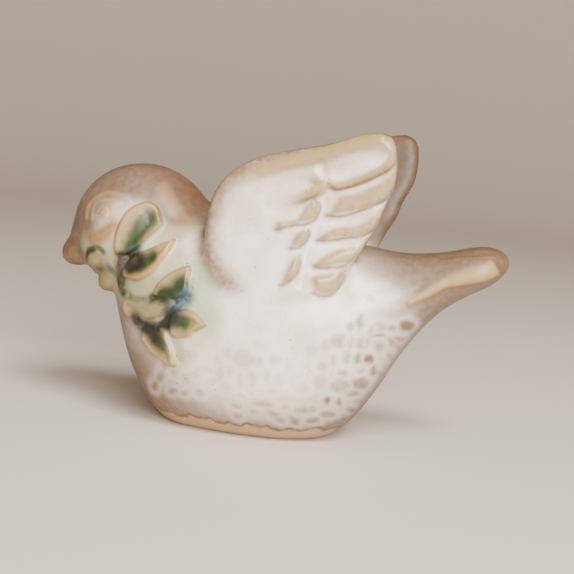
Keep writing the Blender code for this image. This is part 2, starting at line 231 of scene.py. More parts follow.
def refine(thing, chosen):
    # halves the spacing between the chosen points
    shape = bmesh.new()
    shape.from_mesh(thing.data)
    edges = [edge for edge in shape.edges if all(chosen[vert.index] for vert in edge.verts)]
    fresh = bmesh.ops.subdivide_edges(shape, edges=edges, cuts=1, use_grid_fill=True)
    touched = {item for item in fresh["geom"] if isinstance(item, bmesh.types.BMVert)}
    bmesh.ops.triangulate(shape, faces=[face for face in shape.faces if len(face.verts) > 4])
    shape.verts.index_update()
    soft = np.zeros(len(shape.verts))
    for vert in touched:
        soft[vert.index] = 1
    shape.to_mesh(thing.data)
    shape.free()
    return soft


# the clay form
body = {
    "width": 44, "tailWidth": 20,
    "back": [(-35, 37), (-28, 45.6), (-20, 51.8), (-13, 52.6), (0, 50.5), (14, 48.5),
             (27, 46.5), (35, 45.8), (44, 46.9), (52, 49), (60, 49.9)],
    "belly": [(-35, 29.5), (-31.6, 21), (-28.2, 12.8), (-24.4, 6), (-20.4, 1.2), (-15, -2.2),
              (-6, -3.5), (4, -3.7), (13, -2.8), (19.2, -0.6), (25, 3.4), (31, 11.6),
              (36.4, 21.6), (43, 31), (51, 37.5), (60, 41.8)],
    "widest": [(-35, 30), (-22, 29.5), (-10, 25.5), (2, 23.5), (15, 24.5),
               (27, 29), (38, 36.5), (48, 42), (60, 46)],
    "flankPlan": [(-35, 0.42), (-29, 0.58), (-22, 0.76), (-13, 0.92), (-2, 1),
                  (10, 0.985), (19, 0.89), (28, 0.73), (36, 0.57)],
    "tailPlan": [(44, 1.05), (52, 1), (60, 0.92)],
    "from": -34.3, "to": 59.6, "breastRound": 8, "tailRound": 6.5, "fullness": 2.1, "rings": 90,
    "corners": 72, "footRoll": 1.5,
}
# centre, radii along, across and up, and droop in degrees
eggs = {
    "head": ((-28.7, 0, 45), (17.3, 14, 15.7), 0),
    "face": ((-38.4, 0, 43), (8.4, 8.68, 7), 0),
    "beak": ((-42.6, 0, 39.4), (7.4, 5.4, 4.4), 32),
}
# centre and radius
berries = [(-37, -9.5, 37.1, 2.35), (-34.4, -7.1, 32, 2.55), (-43.3, -2.9, 37.2, 1.84)]
wing = {
    "spread": 38.5, "thickness": 6.6, "tipShare": 0.70, "edgeRadius": 2.4,
    "outline": [(-1.8, 32.8), (-6.4, 38.1), (-8.6, 44.8), (-8.5, 51.5), (-5.7, 58.9), (1.2, 64.6),
                (9.3, 67.4), (19.2, 69.9), (27.5, 72.8), (32.3, 72.5), (34, 68.2), (33.9, 62),
                (31.7, 56.8), (30.8, 53.2), (28.5, 48.8), (27.2, 45.4), (24.9, 43), (22.9, 38.1),
                (18.9, 34), (12.5, 30.5), (4.8, 29.9)],
    "stance": [(27, 0.84), (33, 0.93), (40, 0.92), (49, 0.88), (61, 0.93), (73, 1)],
    "toeIn": 0.2, "toeInBand": (0, 32), "toeInHeights": (70, 52), "inside": 0.58, "insideFade": 0.15,
    "rootBand": (32, 37, 47, 53),
}
# spacing of the mesh, how far each place is softened, and where that starts, is full and ends
clay = {
    "grain": 0.88, "fillet": 1.6, "wingRoot": 3.2, "nape": 4, "napeBand": (-26, -20, -12, -6),
    "napeHeights": (34, 39), "beak": 2.2, "beakBand": (-50, -48.5, -42, -37), "beakHeights": (33, 37),
    "berry": 0.8,
}


def roundEnd(distance, radius):
    t = np.clip(distance / radius, 0, 1)
    return np.sqrt(1 - (1 - t) ** 2)


def bodyRing(x, turns):
    end = roundEnd(x - body["from"], body["breastRound"]) * roundEnd(body["to"] - x, body["tailRound"])
    widest = smoothLine(body["widest"], x)
    back = (smoothLine(body["back"], x) - widest) * end
    belly = (widest - smoothLine(body["belly"], x)) * end
    plan = [(place, share * body["width"] / 2) for place, share in body["flankPlan"]]
    plan += [(place, share * body["tailWidth"] / 2) for place, share in body["tailPlan"]]
    halfWidth = smoothLine(plan, x) * end
    power = 2 / body["fullness"]
    ring = []
    for turn in turns:
        up, out = sin(turn), cos(turn)
        height = np.sign(up) * abs(up) ** power * (back if up > 0 else belly)
        ring.append(Vector((x, np.sign(out) * abs(out) ** power * halfWidth, widest + height)) * mm)
    return ring


def makeBody():
    corners = body["corners"]
    turns = [2 * np.pi * (i + 0.5) / corners for i in range(corners)]
    spread = (1 - np.cos(np.pi * np.arange(1, body["rings"]) / body["rings"])) / 2
    places = body["from"] + (body["to"] - body["from"]) * spread
    skin = bmesh.new()
    rows = [[skin.verts.new(point) for point in bodyRing(x, turns)] for x in places]
    skinRows(skin, rows)
    for row, end in ((rows[0], body["from"]), (rows[-1], body["to"])):
        point = skin.verts.new((end * mm, 0, smoothLine(body["widest"], end) * mm))
        for i in range(corners):
            skin.faces.new((row[i], row[(i + 1) % corners], point))
    bmesh.ops.recalc_face_normals(skin, faces=skin.faces)
    return newObject("body", skin)


def makeBall(name, centre, radii, droop=0):
    ball = bmesh.new()
    bmesh.ops.create_uvsphere(ball, u_segments=48, v_segments=32, radius=1.0)
    turn = Matrix.Rotation(-radians(droop), 4, "Y")
    size = Matrix.Diagonal((*(radius * mm for radius in radii), 1))
    place = Matrix.Translation(Vector(centre) * mm) @ turn @ size
    bmesh.ops.transform(ball, matrix=place, verts=ball.verts)
    return newObject(name, ball)


def makeWing(side):
    # a flat slab with rounded edges, thinned towards its tip and bent to its stance
    edge = wing["edgeRadius"] * mm
    curve = bpy.data.curves.new("wing", "CURVE")
    curve.dimensions = "2D"
    curve.fill_mode = "BOTH"
    curve.extrude = wing["thickness"] / 2 * mm - edge
    curve.bevel_depth = edge
    curve.offset = -edge
    curve.bevel_resolution = 4
    outline = curve.splines.new("BEZIER")
    outline.bezier_points.add(len(wing["outline"]) - 1)
    outline.use_cyclic_u = True
    for point, (x, z) in zip(outline.bezier_points, wing["outline"]):
        point.co = (x * mm, z * mm, 0)
        point.handle_left_type = "AUTO"
        point.handle_right_type = "AUTO"
    slab = addObject("wing", curve)
    thing = addObject("wing", evaluatedMesh(slab))
    bpy.data.objects.remove(slab)
    remesh(thing, clay["grain"] * mm)
    x, z, depth = inMm(thing.data)
    stance = wing["stance"]
    thin = 1 - (1 - wing["tipShare"]) * ease(stance[0][0], stance[-1][0], z)
    toeIn = wing["toeIn"] * ease(*wing["toeInBand"], x) * ease(*wing["toeInHeights"], z)
    y = side * (smoothLine(stance, z) - toeIn) * wing["spread"] / 2 + depth * thin
    setPoints(thing.data, np.stack((x, y, z), axis=1) * mm)
    thing.data.flip_normals()
    return thing


def join(things):
    whole = bmesh.new()
    for thing in things:
        whole.from_mesh(thing.data)
        bpy.data.objects.remove(thing)
    return newObject("glazedDove", whole)


def band(edges, values):
    start, full, stillFull, stop = edges
    return ease(start, full, values) * ease(stop, stillFull, values)


def soften(thing, what, weights=None):
    smooth(thing, (clay[what] / clay["grain"]) ** 2, weights)


def makeForm():
    things = [makeBody()]
    things += [makeBall(name, *egg) for name, egg in eggs.items()]
    things += [makeWing(-1), makeWing(1)]
    dove = join(things)
    remesh(dove, clay["grain"] * mm)
    soften(dove, "fillet")
    x, y, z = inMm(dove.data)
    out = ease(wing["inside"] - wing["insideFade"], wing["inside"], abs(y) / (wing["spread"] / 2))
    soften(dove, "wingRoot", out * band(wing["rootBand"], z))
    for what in ("nape", "beak"):
        x, y, z = inMm(dove.data)
        soften(dove, what, band(clay[what + "Band"], x) * ease(*clay[what + "Heights"], z))
    balls = [makeBall("berry", centre, (radius,) * 3) for *centre, radius in berries]
    dove = join([dove] + balls)
    remesh(dove, clay["grain"] * mm)
    soften(dove, "berry")
    return dove


def onWing(y, z):
    above = ease(wing["rootBand"][0], wing["rootBand"][1], z)
    return ease(wing["inside"], wing["inside"] + wing["insideFade"], abs(y) / (wing["spread"] / 2)) * above


dove = makeForm()
print("clay form:", len(dove.data.polygons), "faces")


# the carving, drawn in side view as paths of x, z, x, z and so on
# each feather: its lower edge from root to tip, how far it reaches up from there, and the share
# of its length over which it widens to that
feathers = {
    "innerShare": 0.1,
    "shapes": [
        ([19.2, 53.6, 22.5, 53.9, 26, 55.3, 29.4, 57, 32.3, 58.9, 33.7, 61.9, 34, 64.6], 6.2, 0.45),
        ([17.6, 47.9, 20.1, 48.1, 23.6, 49, 26.9, 49.8, 29.2, 51.2, 31.1, 53.8, 31.4, 55.9], 4.4, 0.5),
        ([17.4, 42.2, 19.6, 41.9, 22.4, 42.4, 24.8, 43.5, 26.5, 45.1, 27.9, 47.6, 28.4, 49.1], 4.8, 0.5),
        ([17.9, 36.3, 19.4, 35.7, 21.3, 35.9, 22.6, 37, 23.7, 39.5, 24.8, 42.5], 5.2, 0.5),
        ([8.1, 49.5, 12.2, 50.8, 14.5, 51.2, 16.5, 52.4, 17.5, 54.3, 17.4, 56.1, 16.1, 57.1], 4.6, 0.8),
        ([11.7, 45.5, 13.3, 45.8, 14.9, 47.2, 15.7, 49, 15.2, 50.2], 3.4, 0.7),
        ([10.7, 37.2, 12.4, 38.2, 13.9, 40.2, 14.4, 42.6, 13.9, 44.4], 3.4, 0.7),
    ],
    # the first feather and the first covert are a rim round a hollow: path, half width,
    # and the shares of it where the rim starts, is full, still is, and ends
    "rims": [
        ([19.6, 61, 20.9, 60.4, 23.6, 61.1, 26.5, 62.4, 29.5, 64, 32.1, 65.8, 33.2, 67.8, 32.8, 69.5,
          31.3, 70.3, 29, 70, 24.9, 68.8, 21.4, 67.6], 1.1, (-0.1, 0.06, 0.55, 0.8)),
        ([8.6, 55.6, 10.3, 56, 12.3, 56.5, 14.5, 57.5, 16.4, 58.7, 17.5, 59.9, 17.2, 61.2, 15.6, 62.6,
          13.2, 63.7], 1.4, (0, 0.45, 0.7, 0.95)),
    ],
    "hollows": [
        ([19.5, 61.7, 20.2, 64.8, 22.6, 66.2, 25.5, 67.6, 28.7, 69.1, 30.7, 69, 31.5, 67.3, 30.4, 65.7,
          27.5, 64, 24, 62.3, 21.6, 61.6], 0.6),
        ([3.3, 56.3, 4.8, 59.1, 8.8, 61, 12.6, 62.3, 15.1, 61.3, 15.7, 59.9, 14.3, 58.3, 10.5, 57,
          6.4, 55.7], 0.5),
    ],
    # where the glaze ran thin on each feather and covert
    "patches": [
        [19.3, 53.8, 20.2, 55.4, 21.1, 57.2, 22.2, 58.7, 25.1, 59.5, 27.9, 60.9, 30.6, 62.4, 32.4, 64.3,
         33.6, 66.8, 34.8, 65.1, 34.4, 62, 33, 60.1, 31.5, 58, 28.8, 56.7, 25.8, 55.5, 22.4, 54.5,
         20.3, 53.7],
        [17.5, 48, 18.6, 49.4, 20.2, 50.7, 22.6, 51.5, 25.6, 52, 28.2, 53.7, 30, 55.6, 31.4, 57,
         31.8, 55.6, 30.9, 53.6, 29.7, 51.6, 27.8, 50.2, 24.9, 49.4, 21.5, 48.7, 18.8, 47.8],
        [17.5, 42.2, 18.5, 43.9, 20.4, 45.4, 22.4, 46.5, 25.2, 47.2, 27.4, 48.4, 29, 49.9, 28.6, 48,
         27.4, 46, 26.5, 44.6, 25.5, 43.6, 23.3, 43.2, 20.8, 42.2, 18.4, 41.7],
        [17.3, 39.6, 18.8, 40.5, 20.6, 40.8, 22.2, 41.5, 24, 42.7, 24.9, 43, 24.8, 41.7, 23.9, 39.6,
         23, 37.8, 21.9, 36.4, 20.3, 36.1, 18.6, 36.4, 17.7, 37.8],
        [8.2, 50.3, 8.3, 51.2, 10, 51.7, 12.4, 52.3, 13.6, 54, 14.3, 55.6, 15.5, 56.8, 16.8, 56.8,
         17.4, 55.8, 17.4, 54.3, 16.7, 53, 15.2, 51.9, 13.2, 51.3, 10.8, 50.5, 9.5, 49.2, 8.5, 49.3],
        [12, 46.2, 12, 47.5, 12.7, 49, 13.8, 49.9, 14.9, 50.2, 15.6, 49.8, 15.7, 48.9, 15.3, 47.6,
         14.4, 46.6, 13.1, 45.8],
        [10.7, 37.3, 11.2, 39.7, 11.9, 41.8, 12.6, 43.4, 13.5, 44.1, 14.2, 43.4, 14.3, 41.9, 13.9, 40,
         13, 38.6, 11.8, 37.6],
    ],
    "grooves": [
        [19.5, 59, 25.1, 61.1, 30.5, 63.4, 34.2, 66.3],
        [17.5, 52.2, 22.5, 52.6, 28.4, 55, 32.2, 57.6],
        [16, 46.9, 21.6, 47.1, 27.3, 48.7, 29.8, 50.7],
        [16.1, 41.3, 20.8, 40.9, 24.6, 42.3, 26.4, 43.6],
        [17.3, 64.5, 17.8, 60.4, 18.1, 56.8, 17.5, 52.2, 16, 46.9, 15.3, 42.4, 15.3, 38.2],
    ],
    "grooveDepth": 0.55,
    "band": [-1.7, 58.5, 0.3, 60.6, 4.1, 62.5, 8.3, 64.1, 11.9, 65.3, 14.8, 66.3, 17.8, 67.3, 20.7, 68.5,
        24.8, 70.2, 29.9, 71.6],
    "shoulder": [-0.6, 34.6, -4.4, 37.6, -7.6, 43, -8.4, 48.4, -7.2, 54.6, -4.4, 60, 0.6, 63.8, 8.2, 66.8,
        17, 69.2, 24, 71.6, 31, 72.8],
}
sprig = {
    "relief": 1.15,
    # outline of each leaf, its vein, and how green its middle is
    "leaves": [
        ([-30.6, 39.4, -31.1, 40.9, -30.9, 43.8, -30.1, 46.7, -29, 49.1, -27.2, 50.8, -25.1, 51.8,
          -23.4, 51.7, -22, 50.7, -21.1, 48.7, -20.3, 46.8, -21.9, 45, -24, 42.9, -26.2, 41,
          -28.3, 39.6], [-27, 40.4, -25.9, 43.6, -24.9, 45.6, -24, 47.4, -22.9, 48.9], 0.9),
        ([-29.3, 34.4, -27.6, 34, -25.2, 33.9, -22.8, 34.6, -20.6, 36.2, -18.8, 38.6, -17.3, 41,
          -16.2, 43.9, -18, 43.4, -20.1, 42.5, -22.5, 41.3, -24.9, 40.2, -27.4, 38.1, -28.8, 36.2],
          [-28.4, 36.4, -25.9, 37.6, -23.6, 38.9, -21.2, 40], 0.8),
        ([-19, 31.4, -18.6, 33.4, -16.9, 35.6, -14.7, 37.2, -12.4, 38.4, -11, 38.7, -10.7, 37.3,
          -10.9, 35.2, -10.7, 33.5, -11.9, 31.9, -14.5, 31.1, -16.9, 31.1], [-15.6, 31.4, -14.2, 32.9,
          -12.9, 34.3, -12.1, 35.8], 0.9),
        ([-27, 29.1, -25.9, 29.6, -23.3, 29.2, -21.3, 29.1, -19.3, 29.9, -16.9, 30.7, -14.8, 31.1,
          -13.7, 30.5, -13.7, 29.3, -15, 27.7, -16.7, 26.5, -19.3, 25.5, -22.1, 25.6, -24.6, 24.9,
          -26.6, 25.7, -27.4, 27.3], [-18, 26.6, -21, 27, -24, 27.2], 0),
        ([-14.4, 25.6, -13.6, 27.9, -12.4, 28.8, -10.5, 29.2, -8.4, 28.8, -6.7, 27.7, -5.4, 26.5, -6.6, 25.6,
          -8, 24.6, -9.4, 23.3, -11.4, 22.8, -13.3, 23], [-14.6, 25.6, -13, 26, -10.5, 26.4,
          -8.6, 26.4], 0.4),
        ([-21.5, 23.4, -21.4, 21, -20.4, 19.6, -19, 18.4, -17.2, 17.3, -15, 16.4, -13.2, 15.7,
          -12.1, 16.3, -12.5, 17.7, -13, 19.5, -13.9, 21.4, -15.2, 23.3, -17.2, 24.2, -19.6, 24.4],
          [-19.1, 23.4, -17.7, 21.5, -16, 19.6, -14.6, 18.2], 0.75),
    ],
    "stems": [
        [-28.7, 39.9, -29.6, 37, -30, 34.6, -29.3, 31.8, -27.6, 30],
        [-23.2, 25.3, -20.6, 24.8, -17.3, 25, -14.8, 26.6, -13.4, 28.4, -11.9, 30.4],
        [-20.3, 25, -18.4, 24.6, -17.9, 23.3, -18.6, 21.6],
    ],
    "stemHalfWidth": 0.85, "stemRelief": 0.75,
    "fold": [-25.4, 42.4, -23.2, 44.6, -21.1, 47],  # the first leaf's turned-up lower edge
    # the stretches of the leaves' edges where the glaze broke to peach, and how strongly
    "rims": [
        ([-30.4, 39.8, -30.8, 41.5, -30.6, 43.9, -29.8, 46.6, -28.6, 48.8, -27, 50.3, -25.1, 51.2,
          -23.4, 51.1, -22.2, 50.2, -21.5, 48.7], 1),
        ([-29, 34.8, -27.4, 34.5, -25.2, 34.5, -23, 35.2, -21, 36.7, -19.3, 39, -17.9, 41.4,
          -16.7, 43.4, -19, 42.7], 1),
        ([-18.8, 31.8, -18.3, 33.2, -16.7, 35.1, -14.6, 36.7, -12.5, 37.8, -11.2, 38.2], 1),
        ([-25.6, 29.2, -26.7, 28.9, -27.1, 27.3, -26.2, 25.9], 0.6),
        ([-12.6, 28.3, -10.6, 28.7, -8.6, 28.3, -7, 27.3, -5.8, 26.4, -7.2, 25.6], 1.1),
        ([-9.6, 23.9, -11.4, 23.3, -13.2, 23.5], 0.6),
        ([-21.2, 22.6, -21.2, 21, -20.1, 19.9, -18.9, 18.8, -17.1, 17.7, -14.9, 16.7, -12.9, 16.2], 0.8),
    ],
}
marks = {
    "eye": (-34.7, 48.7), "eyeRadius": 0.95, "eyeRelief": 0.32, "ring": 1.75,
    # ridges of the face and nape: path, half width, relief
    "ridges": [
        ([-38, 46.8, -38.1, 49.1, -37.2, 50.8, -35.3, 51.5, -32.4, 51.3], 0.6, 0.22),
        ([-39.7, 46.9, -39.8, 49.2, -38.3, 51.3, -35.7, 52.9, -33.1, 53.3, -30.8, 52.9, -29.2, 51.8],
         0.7, 0.25),
        ([-31.8, 46.1, -33.6, 44.1, -35.4, 43, -37.3, 42.2], 1.1, 0.28),
        ([-22.2, 55.5, -20, 52.7, -17.9, 50.1, -15.6, 48.6, -13, 47.4, -14.4, 46, -15.9, 44.8],
         1.6, 0.04),
    ],
    "tail": [38.8, 35.2, 42.7, 37.4, 46.4, 39.7, 50.7, 41, 54.8, 42.2, 57.4, 43.6],
    "tailReach": 4.4, "tailRelief": 0.6,
    "tailTop": [45.1, 46.4, 47.7, 47.1, 50.9, 47.8, 55.3, 48.3],
}


def shingle(x, z, edge, reach, widening):
    # a feather: steep along its lower edge, running out softly above it; 1 at its highest
    distance, side, beyond, share = nearest(x, z, rounded(edge))
    above = distance * side
    reach = reach * (0.2 + 0.8 * ease(-0.1, widening, share))
    rise = ease(-0.7, 0.35, above) * (1 - ease(0.1 * reach, reach, above))
    return rise * (1 - ease(0, 0.9, beyond)), above, beyond


def wingCarving(x, z):
    height, edgeLine, groove = np.zeros((3, len(x)))
    for edge, reach, widening in feathers["shapes"]:
        rise, above, beyond = shingle(x, z, edge, reach, widening)
        height = np.maximum(height, rise)
        edgeLine = np.maximum(edgeLine, bell(above + 0.05, 0.42) * (1 - ease(-0.2, 0.6, beyond)))
    tan = 0.35 * height
    height *= 0.6
    for path in feathers["patches"]:
        inside = insideDepth(x, z, path, steps=3)
        height = np.maximum(height, 0.95 * ease(-0.9, 1.3, inside))
        tan = np.maximum(tan, ease(-0.5, 0.7, inside))
    for path, halfWidth, stretch in feathers["rims"]:
        distance, side, beyond, share = nearest(x, z, rounded(path))
        here = band(stretch, share) * (1 - ease(0.3, 1.2, beyond))
        height = np.maximum(height, 0.7 * here * ease(halfWidth * 1.7, halfWidth * 0.2, distance))
        tan = np.maximum(tan, here * ease(halfWidth * 1.6, halfWidth * 0.6, distance))
        here *= 1 - ease(0.45, 0.6, share)
        edgeLine = np.maximum(edgeLine, here * bell(distance * side + 0.5, 0.5))
    distance, side, beyond, share = nearest(x, z, rounded(feathers["band"]))
    here = ease(0.0, 0.22, share)
    height = np.maximum(height, 0.55 * here * ease(2.6, 0.4, distance))
    stripe = np.where(side > 0, ease(1.8, 0.8, distance), ease(2.8, 0.8, distance))
    tan = np.maximum(tan, here * stripe)
    for path, depth in feathers["hollows"]:
        inside = insideDepth(x, z, path)
        height -= depth * ease(-0.6, 2.0, inside)
        tan *= 1 - 0.85 * ease(-0.2, 1.2, inside)
    for path in feathers["grooves"]:
        groove = np.maximum(groove, stroke(x, z, path, 1.9, 0.2))
    height -= feathers["grooveDepth"] * groove * (1 - np.clip(height, 0, 1))
    return height, tan, edgeLine, stroke(x, z, feathers["shoulder"], 6.4, 0.4)


def sprigCarving(x, z):
    masks = dict.fromkeys(("sage", "peach", "vein", "outline"), 0)
    height, rims = np.zeros((2, len(x)))
    for path, strength in sprig["rims"]:
        rims = np.maximum(rims, strength * stroke(x, z, path, 2.2, 0.6))
    for path, vein, green in sprig["leaves"]:
        inside = insideDepth(x, z, path, steps=4)
        distance = nearest(x, z, rounded(vein, steps=4))[0]
        pad = ease(-0.55, 0.55, inside)
        lift = pad * (1 - 0.35 * ease(0.6, 2.6, inside)) + 0.12 * rims * bell(inside - 0.6, 0.5)
        lift -= 0.08 * ease(1.5, 0.2, distance) * pad
        height = np.maximum(height, lift)
        leaf = {"sage": ease(-0.3, 0.6, inside), "peach": rims * bell(inside - 0.6, 0.75),
                "outline": rims * bell(inside + 0.15, 0.28),
                "vein": green * ease(2.4, 0.3, distance) * ease(0.0, 1.4, inside)}
        masks = {name: np.maximum(masks[name], leaf[name]) for name in masks}
    fold = stroke(x, z, sprig["fold"], 1.5, 0.1)
    height = (height + 0.22 * fold) * sprig["relief"]
    masks["vein"] *= 1 - fold
    for path in sprig["stems"]:
        distance = nearest(x, z, rounded(path))[0]
        stem = roundEnd(sprig["stemHalfWidth"] * 1.3 - distance, 1.1)
        height = np.maximum(height, sprig["stemRelief"] * stem)
    return height, masks


def faceCarving(x, z):
    # eye, brow, cheek, nape and tail; the same on both sides
    fromEye = np.hypot(x - marks["eye"][0], z - marks["eye"][1])
    height = marks["eyeRelief"] * roundEnd(marks["eyeRadius"] * 1.25 - fromEye, marks["eyeRadius"])
    height -= 0.06 * bell(fromEye - 1.35, 0.3)
    tan = np.maximum(ease(1.2, 0.7, fromEye), 0.4 * bell(fromEye - marks["ring"], 0.35))
    for path, halfWidth, relief in marks["ridges"]:
        height = np.maximum(height, relief * stroke(x, z, path, halfWidth * 1.6, 0))
        tan = np.maximum(tan, 0.5 * stroke(x, z, path, halfWidth * 1.3, halfWidth * 0.3))
    rise, above, beyond = shingle(x, z, marks["tail"], marks["tailReach"], 0.4)
    height = np.maximum(height, marks["tailRelief"] * rise)
    ends = 1 - ease(0, 0.9, beyond)
    wide = ease(42, 52, x)
    stripe = ease(-0.6, 0.3, above) * ease(2.2 + 2.4 * wide, 0.9 + 1.4 * wide, above)
    tan = np.maximum(tan, stripe * ends)
    edgeLine = 0.9 * bell(above, 0.45) * ends * ease(40, 50, x)
    distance = nearest(x, z, rounded(marks["tailTop"]))[0]
    height -= 0.35 * ease(0.8, 0.1, distance)
    edgeLine = np.maximum(edgeLine, 0.9 * bell(distance, 0.5))
    return height, tan, edgeLine


# where the mesh is made finer
fine = {
    # how far the surface must face sideways
    "wings": 0.25, "sideways": 0.3, "flank": 0.2,
    # how near a drawn line it must be; for leaves and stems, also the second time
    "marks": 2.6, "brow": (-33.5, 48.7), "tail": 4.5, "eyes": 3.0,
    "leaves": (2.0, 1.0), "stems": (3.2, 1.6), "berries": [[-45, 37.3, -42, 37.4], [-37.4, 37, -34, 32]],
    # the lace: its lowest and highest, how its top rises behind the breast, the foot's top,
    # and where the rear part starts, stops and is highest
    "belly": (1, 25), "breast": (-22, -2), "breastHeights": (8, 30), "foot": 6, "rear": (16, 42, 38),
}


def nearAny(x, z, paths, reach):
    return np.any([nearest(x, z, rounded(path, steps=3))[0] < reach for path in paths], axis=0)


def nearSprig(x, y, z, leafReach, stemReach, more=()):
    close = nearAny(x, z, [*sprig["stems"], *more], stemReach)
    for leaf in sprig["leaves"]:
        close |= insideDepth(x, z, leaf[0], steps=3) > -leafReach
    return close & (y < 0)


def refineForCarving(thing):
    # first the wings, face, sprig, belly and tail ridges, then the sprig and eyes again
    x, y, z = inMm(thing.data)
    outward = getPoints(thing.data, "normal")[:, 1] * np.sign(y)
    side, flank = abs(outward) > fine["sideways"], abs(outward) > fine["flank"]
    wings = (onWing(y, z) > 0) & (outward > fine["wings"])
    face = [ridge[0] for ridge in marks["ridges"]] + [[*marks["eye"], *fine["brow"]]]
    front = nearAny(x, z, face, fine["marks"]) & side
    tail = nearAny(x, z, [marks["tail"], marks["tailTop"]], fine["tail"]) & side
    (bottom, top), (low, high), (start, stop, under) = fine["belly"], fine["breastHeights"], fine["rear"]
    breast = low + (high - low) * ease(*fine["breast"], x)
    belly = (z < top) & (x > fine["breast"][0]) & (z < breast) & flank
    belly = (belly | (z < fine["foot"])) & (z > bottom)
    rear = (x > start) & (x < stop) & (z < under) & flank
    (leaves, leavesAgain), (stems, stemsAgain) = fine["leaves"], fine["stems"]
    leafy = nearSprig(x, y, z, leaves, stems, fine["berries"])
    smooth(thing, 3, refine(thing, wings | front | leafy | tail | belly | rear))
    x, y, z = inMm(thing.data)
    eyes = np.hypot(x - marks["eye"][0], z - marks["eye"][1]) < fine["eyes"]
    smooth(thing, 3, refine(thing, nearSprig(x, y, z, leavesAgain, stemsAgain) | eyes))


def store(mesh, name, values):
    attribute = mesh.attributes.new(name, "FLOAT", "POINT")
    attribute.data.foreach_set("value", np.clip(values, 0, 1).astype(np.float32))


def carve(thing):
    mesh = thing.data
    points = getPoints(mesh)
    normals = getPoints(mesh, "normal")
    x, y, z = points.T / mm
    outward = normals[:, 1] * np.sign(y)
    facing = ease(0.2, 0.6, outward)
    rightWing = y > 0
    outer = ease(np.where(rightWing, 0.55, 0.3), np.where(rightWing, 0.95, 0.75), outward)
    outer += feathers["innerShare"] * ease(0.1, 0.55, -outward)
    wings = onWing(y, z) * outer
    featherHeight, featherTan, featherEdge, shoulder = wingCarving(x, z)
    left = ease(0.1, 0.4, outward) * (y < 0)
    sprigHeight, masks = sprigCarving(x, z)
    markHeight, markTan, markEdge = faceCarving(x, z)
    markHeight *= facing * (1 - np.clip(sprigHeight, 0, 1) * left)
    height = featherHeight * wings + sprigHeight * left + markHeight
    setPoints(mesh, points + normals * (height * mm)[:, None])
    store(mesh, "tan", np.maximum(featherTan * wings, markTan * facing))
    store(mesh, "edge", np.maximum(featherEdge * wings, markEdge * facing))
    store(mesh, "shoulder", shoulder * onWing(y, z))
    # painted shade: the wings' inner faces are darkened, most towards the far wing's tip
    inward = ease(np.where(rightWing, -0.6, -0.25), np.where(rightWing, -0.1, 0.4), -outward)
    overBack = ease(-12, -9, x) * ease(6.5, 9, abs(y)) * ease(44.5, 48, z)
    store(mesh, "inner", overBack * inward * (0.35 + 0.5 * ease(25, 31, x)))
    for name, values in masks.items():
        store(mesh, name, values * left)


refineForCarving(dove)
print("refined:", len(dove.data.polygons), "faces")
carve(dove)
smooth(dove, 1)
print("carved")


fillPasses = 12  # how much the darkest glaze fills the carving under it

# what the glaze did around the sprig: each stroke's path, how far it spreads, and its strength
stains = {
    "green": [
        ([-26.8, 41.6, -25.6, 44.6, -24.5, 46.8, -23.2, 48.4], 2.2, 0.95),
        ([-26.8, 36.4, -23.5, 38, -20.9, 39.8], 1.7, 0.95),
        ([-16.6, 31.8, -13.9, 32.8, -12.4, 34.6], 2.4, 1),
        ([-19.9, 30.5, -16.3, 31.5, -13.6, 31.4], 1.3, 0.95),
        ([-27.6, 30.6, -25, 29.7, -22.8, 29.7, -19.6, 30.6], 0.9, 0.7),
        ([-38.6, 39.2, -37.2, 39.9, -35.6, 40.1, -34.4, 39.4], 0.8, 0.8),
        ([-35.6, 34.9, -33.3, 34.9, -31.6, 33.8, -30.6, 32.4], 1, 0.6),
        ([-13.6, 26.6, -10.8, 26.4], 2, 1),
        ([-19.4, 23.4, -17.8, 21.9, -16.4, 20.2], 2, 0.9),
    ],
    "dark": [
        ([-29.2, 38.9, -27.2, 39.2, -24.6, 38.9], 1.9, 1),
        ([-28.8, 37.6, -26.8, 37.2, -24.6, 37.8], 1.9, 0.95),
        ([-28.9, 39.4, -29.6, 37, -29.7, 34.6, -29.2, 31.8, -28.4, 30.6], 1.5, 0.88),
        ([-23.4, 24.8, -21.8, 24, -19.4, 23.6, -17, 24.2, -14.8, 26, -13.6, 27.4], 2.2, 1),
        ([-18.6, 24.2, -18, 21.9], 2.3, 0.9),
        ([-16.4, 31.2, -14, 31.7], 1.6, 0.5),
        ([-39.9, 36, -39.5, 37.5, -38.6, 38.9, -37.2, 39.5], 0.8, 0.9),
    ],
    "rust": [
        ([-31.9, 45.9, -33.6, 44.3, -35.6, 42.9, -37.5, 42.4], 1.9, 0.8),
        ([-45.6, 36.6, -45.3, 38, -44.2, 38.9], 0.45, 0.5),
        ([-21.6, 55.2, -20, 52.7, -17.9, 50.3], 1.3, 0.3),
    ],
    "blue": [
        ([-13.9, 28.3, -12.3, 30.4, -11, 32.2], 2.3, 1),
        ([-26.6, 40.6, -25.2, 41.6], 0.8, 0.6),
        ([-33.4, 36.2, -32.2, 35.2], 0.8, 0.6),
        ([-31.4, 37.6, -31.4, 35.8], 0.6, 0.4),
    ],
    "mint": [
        ([-38.4, 40.2, -36, 41.2, -33, 41.4, -31.6, 38, -31.8, 35.4], 3, 0.9),
        ([-28.9, 33, -28.2, 31.3, -24, 31.6, -20.5, 33.6], 4.4, 1),
        ([-24.6, 41.8, -21.4, 44.2, -18.4, 45.4], 2.4, 0.6),
        ([-17.6, 36.2, -14.6, 39.6], 3.2, 0.7),
        ([-13.6, 21.8, -11.6, 18.8], 3, 0.9),
        ([-7.5, 23.6, -4.6, 26.2], 3.4, 0.6),
    ],
    "teal": [
        ([-9.4, 35.8, -8.2, 32.6, -6.2, 29.4], 4.8, 0.9),
    ],
}
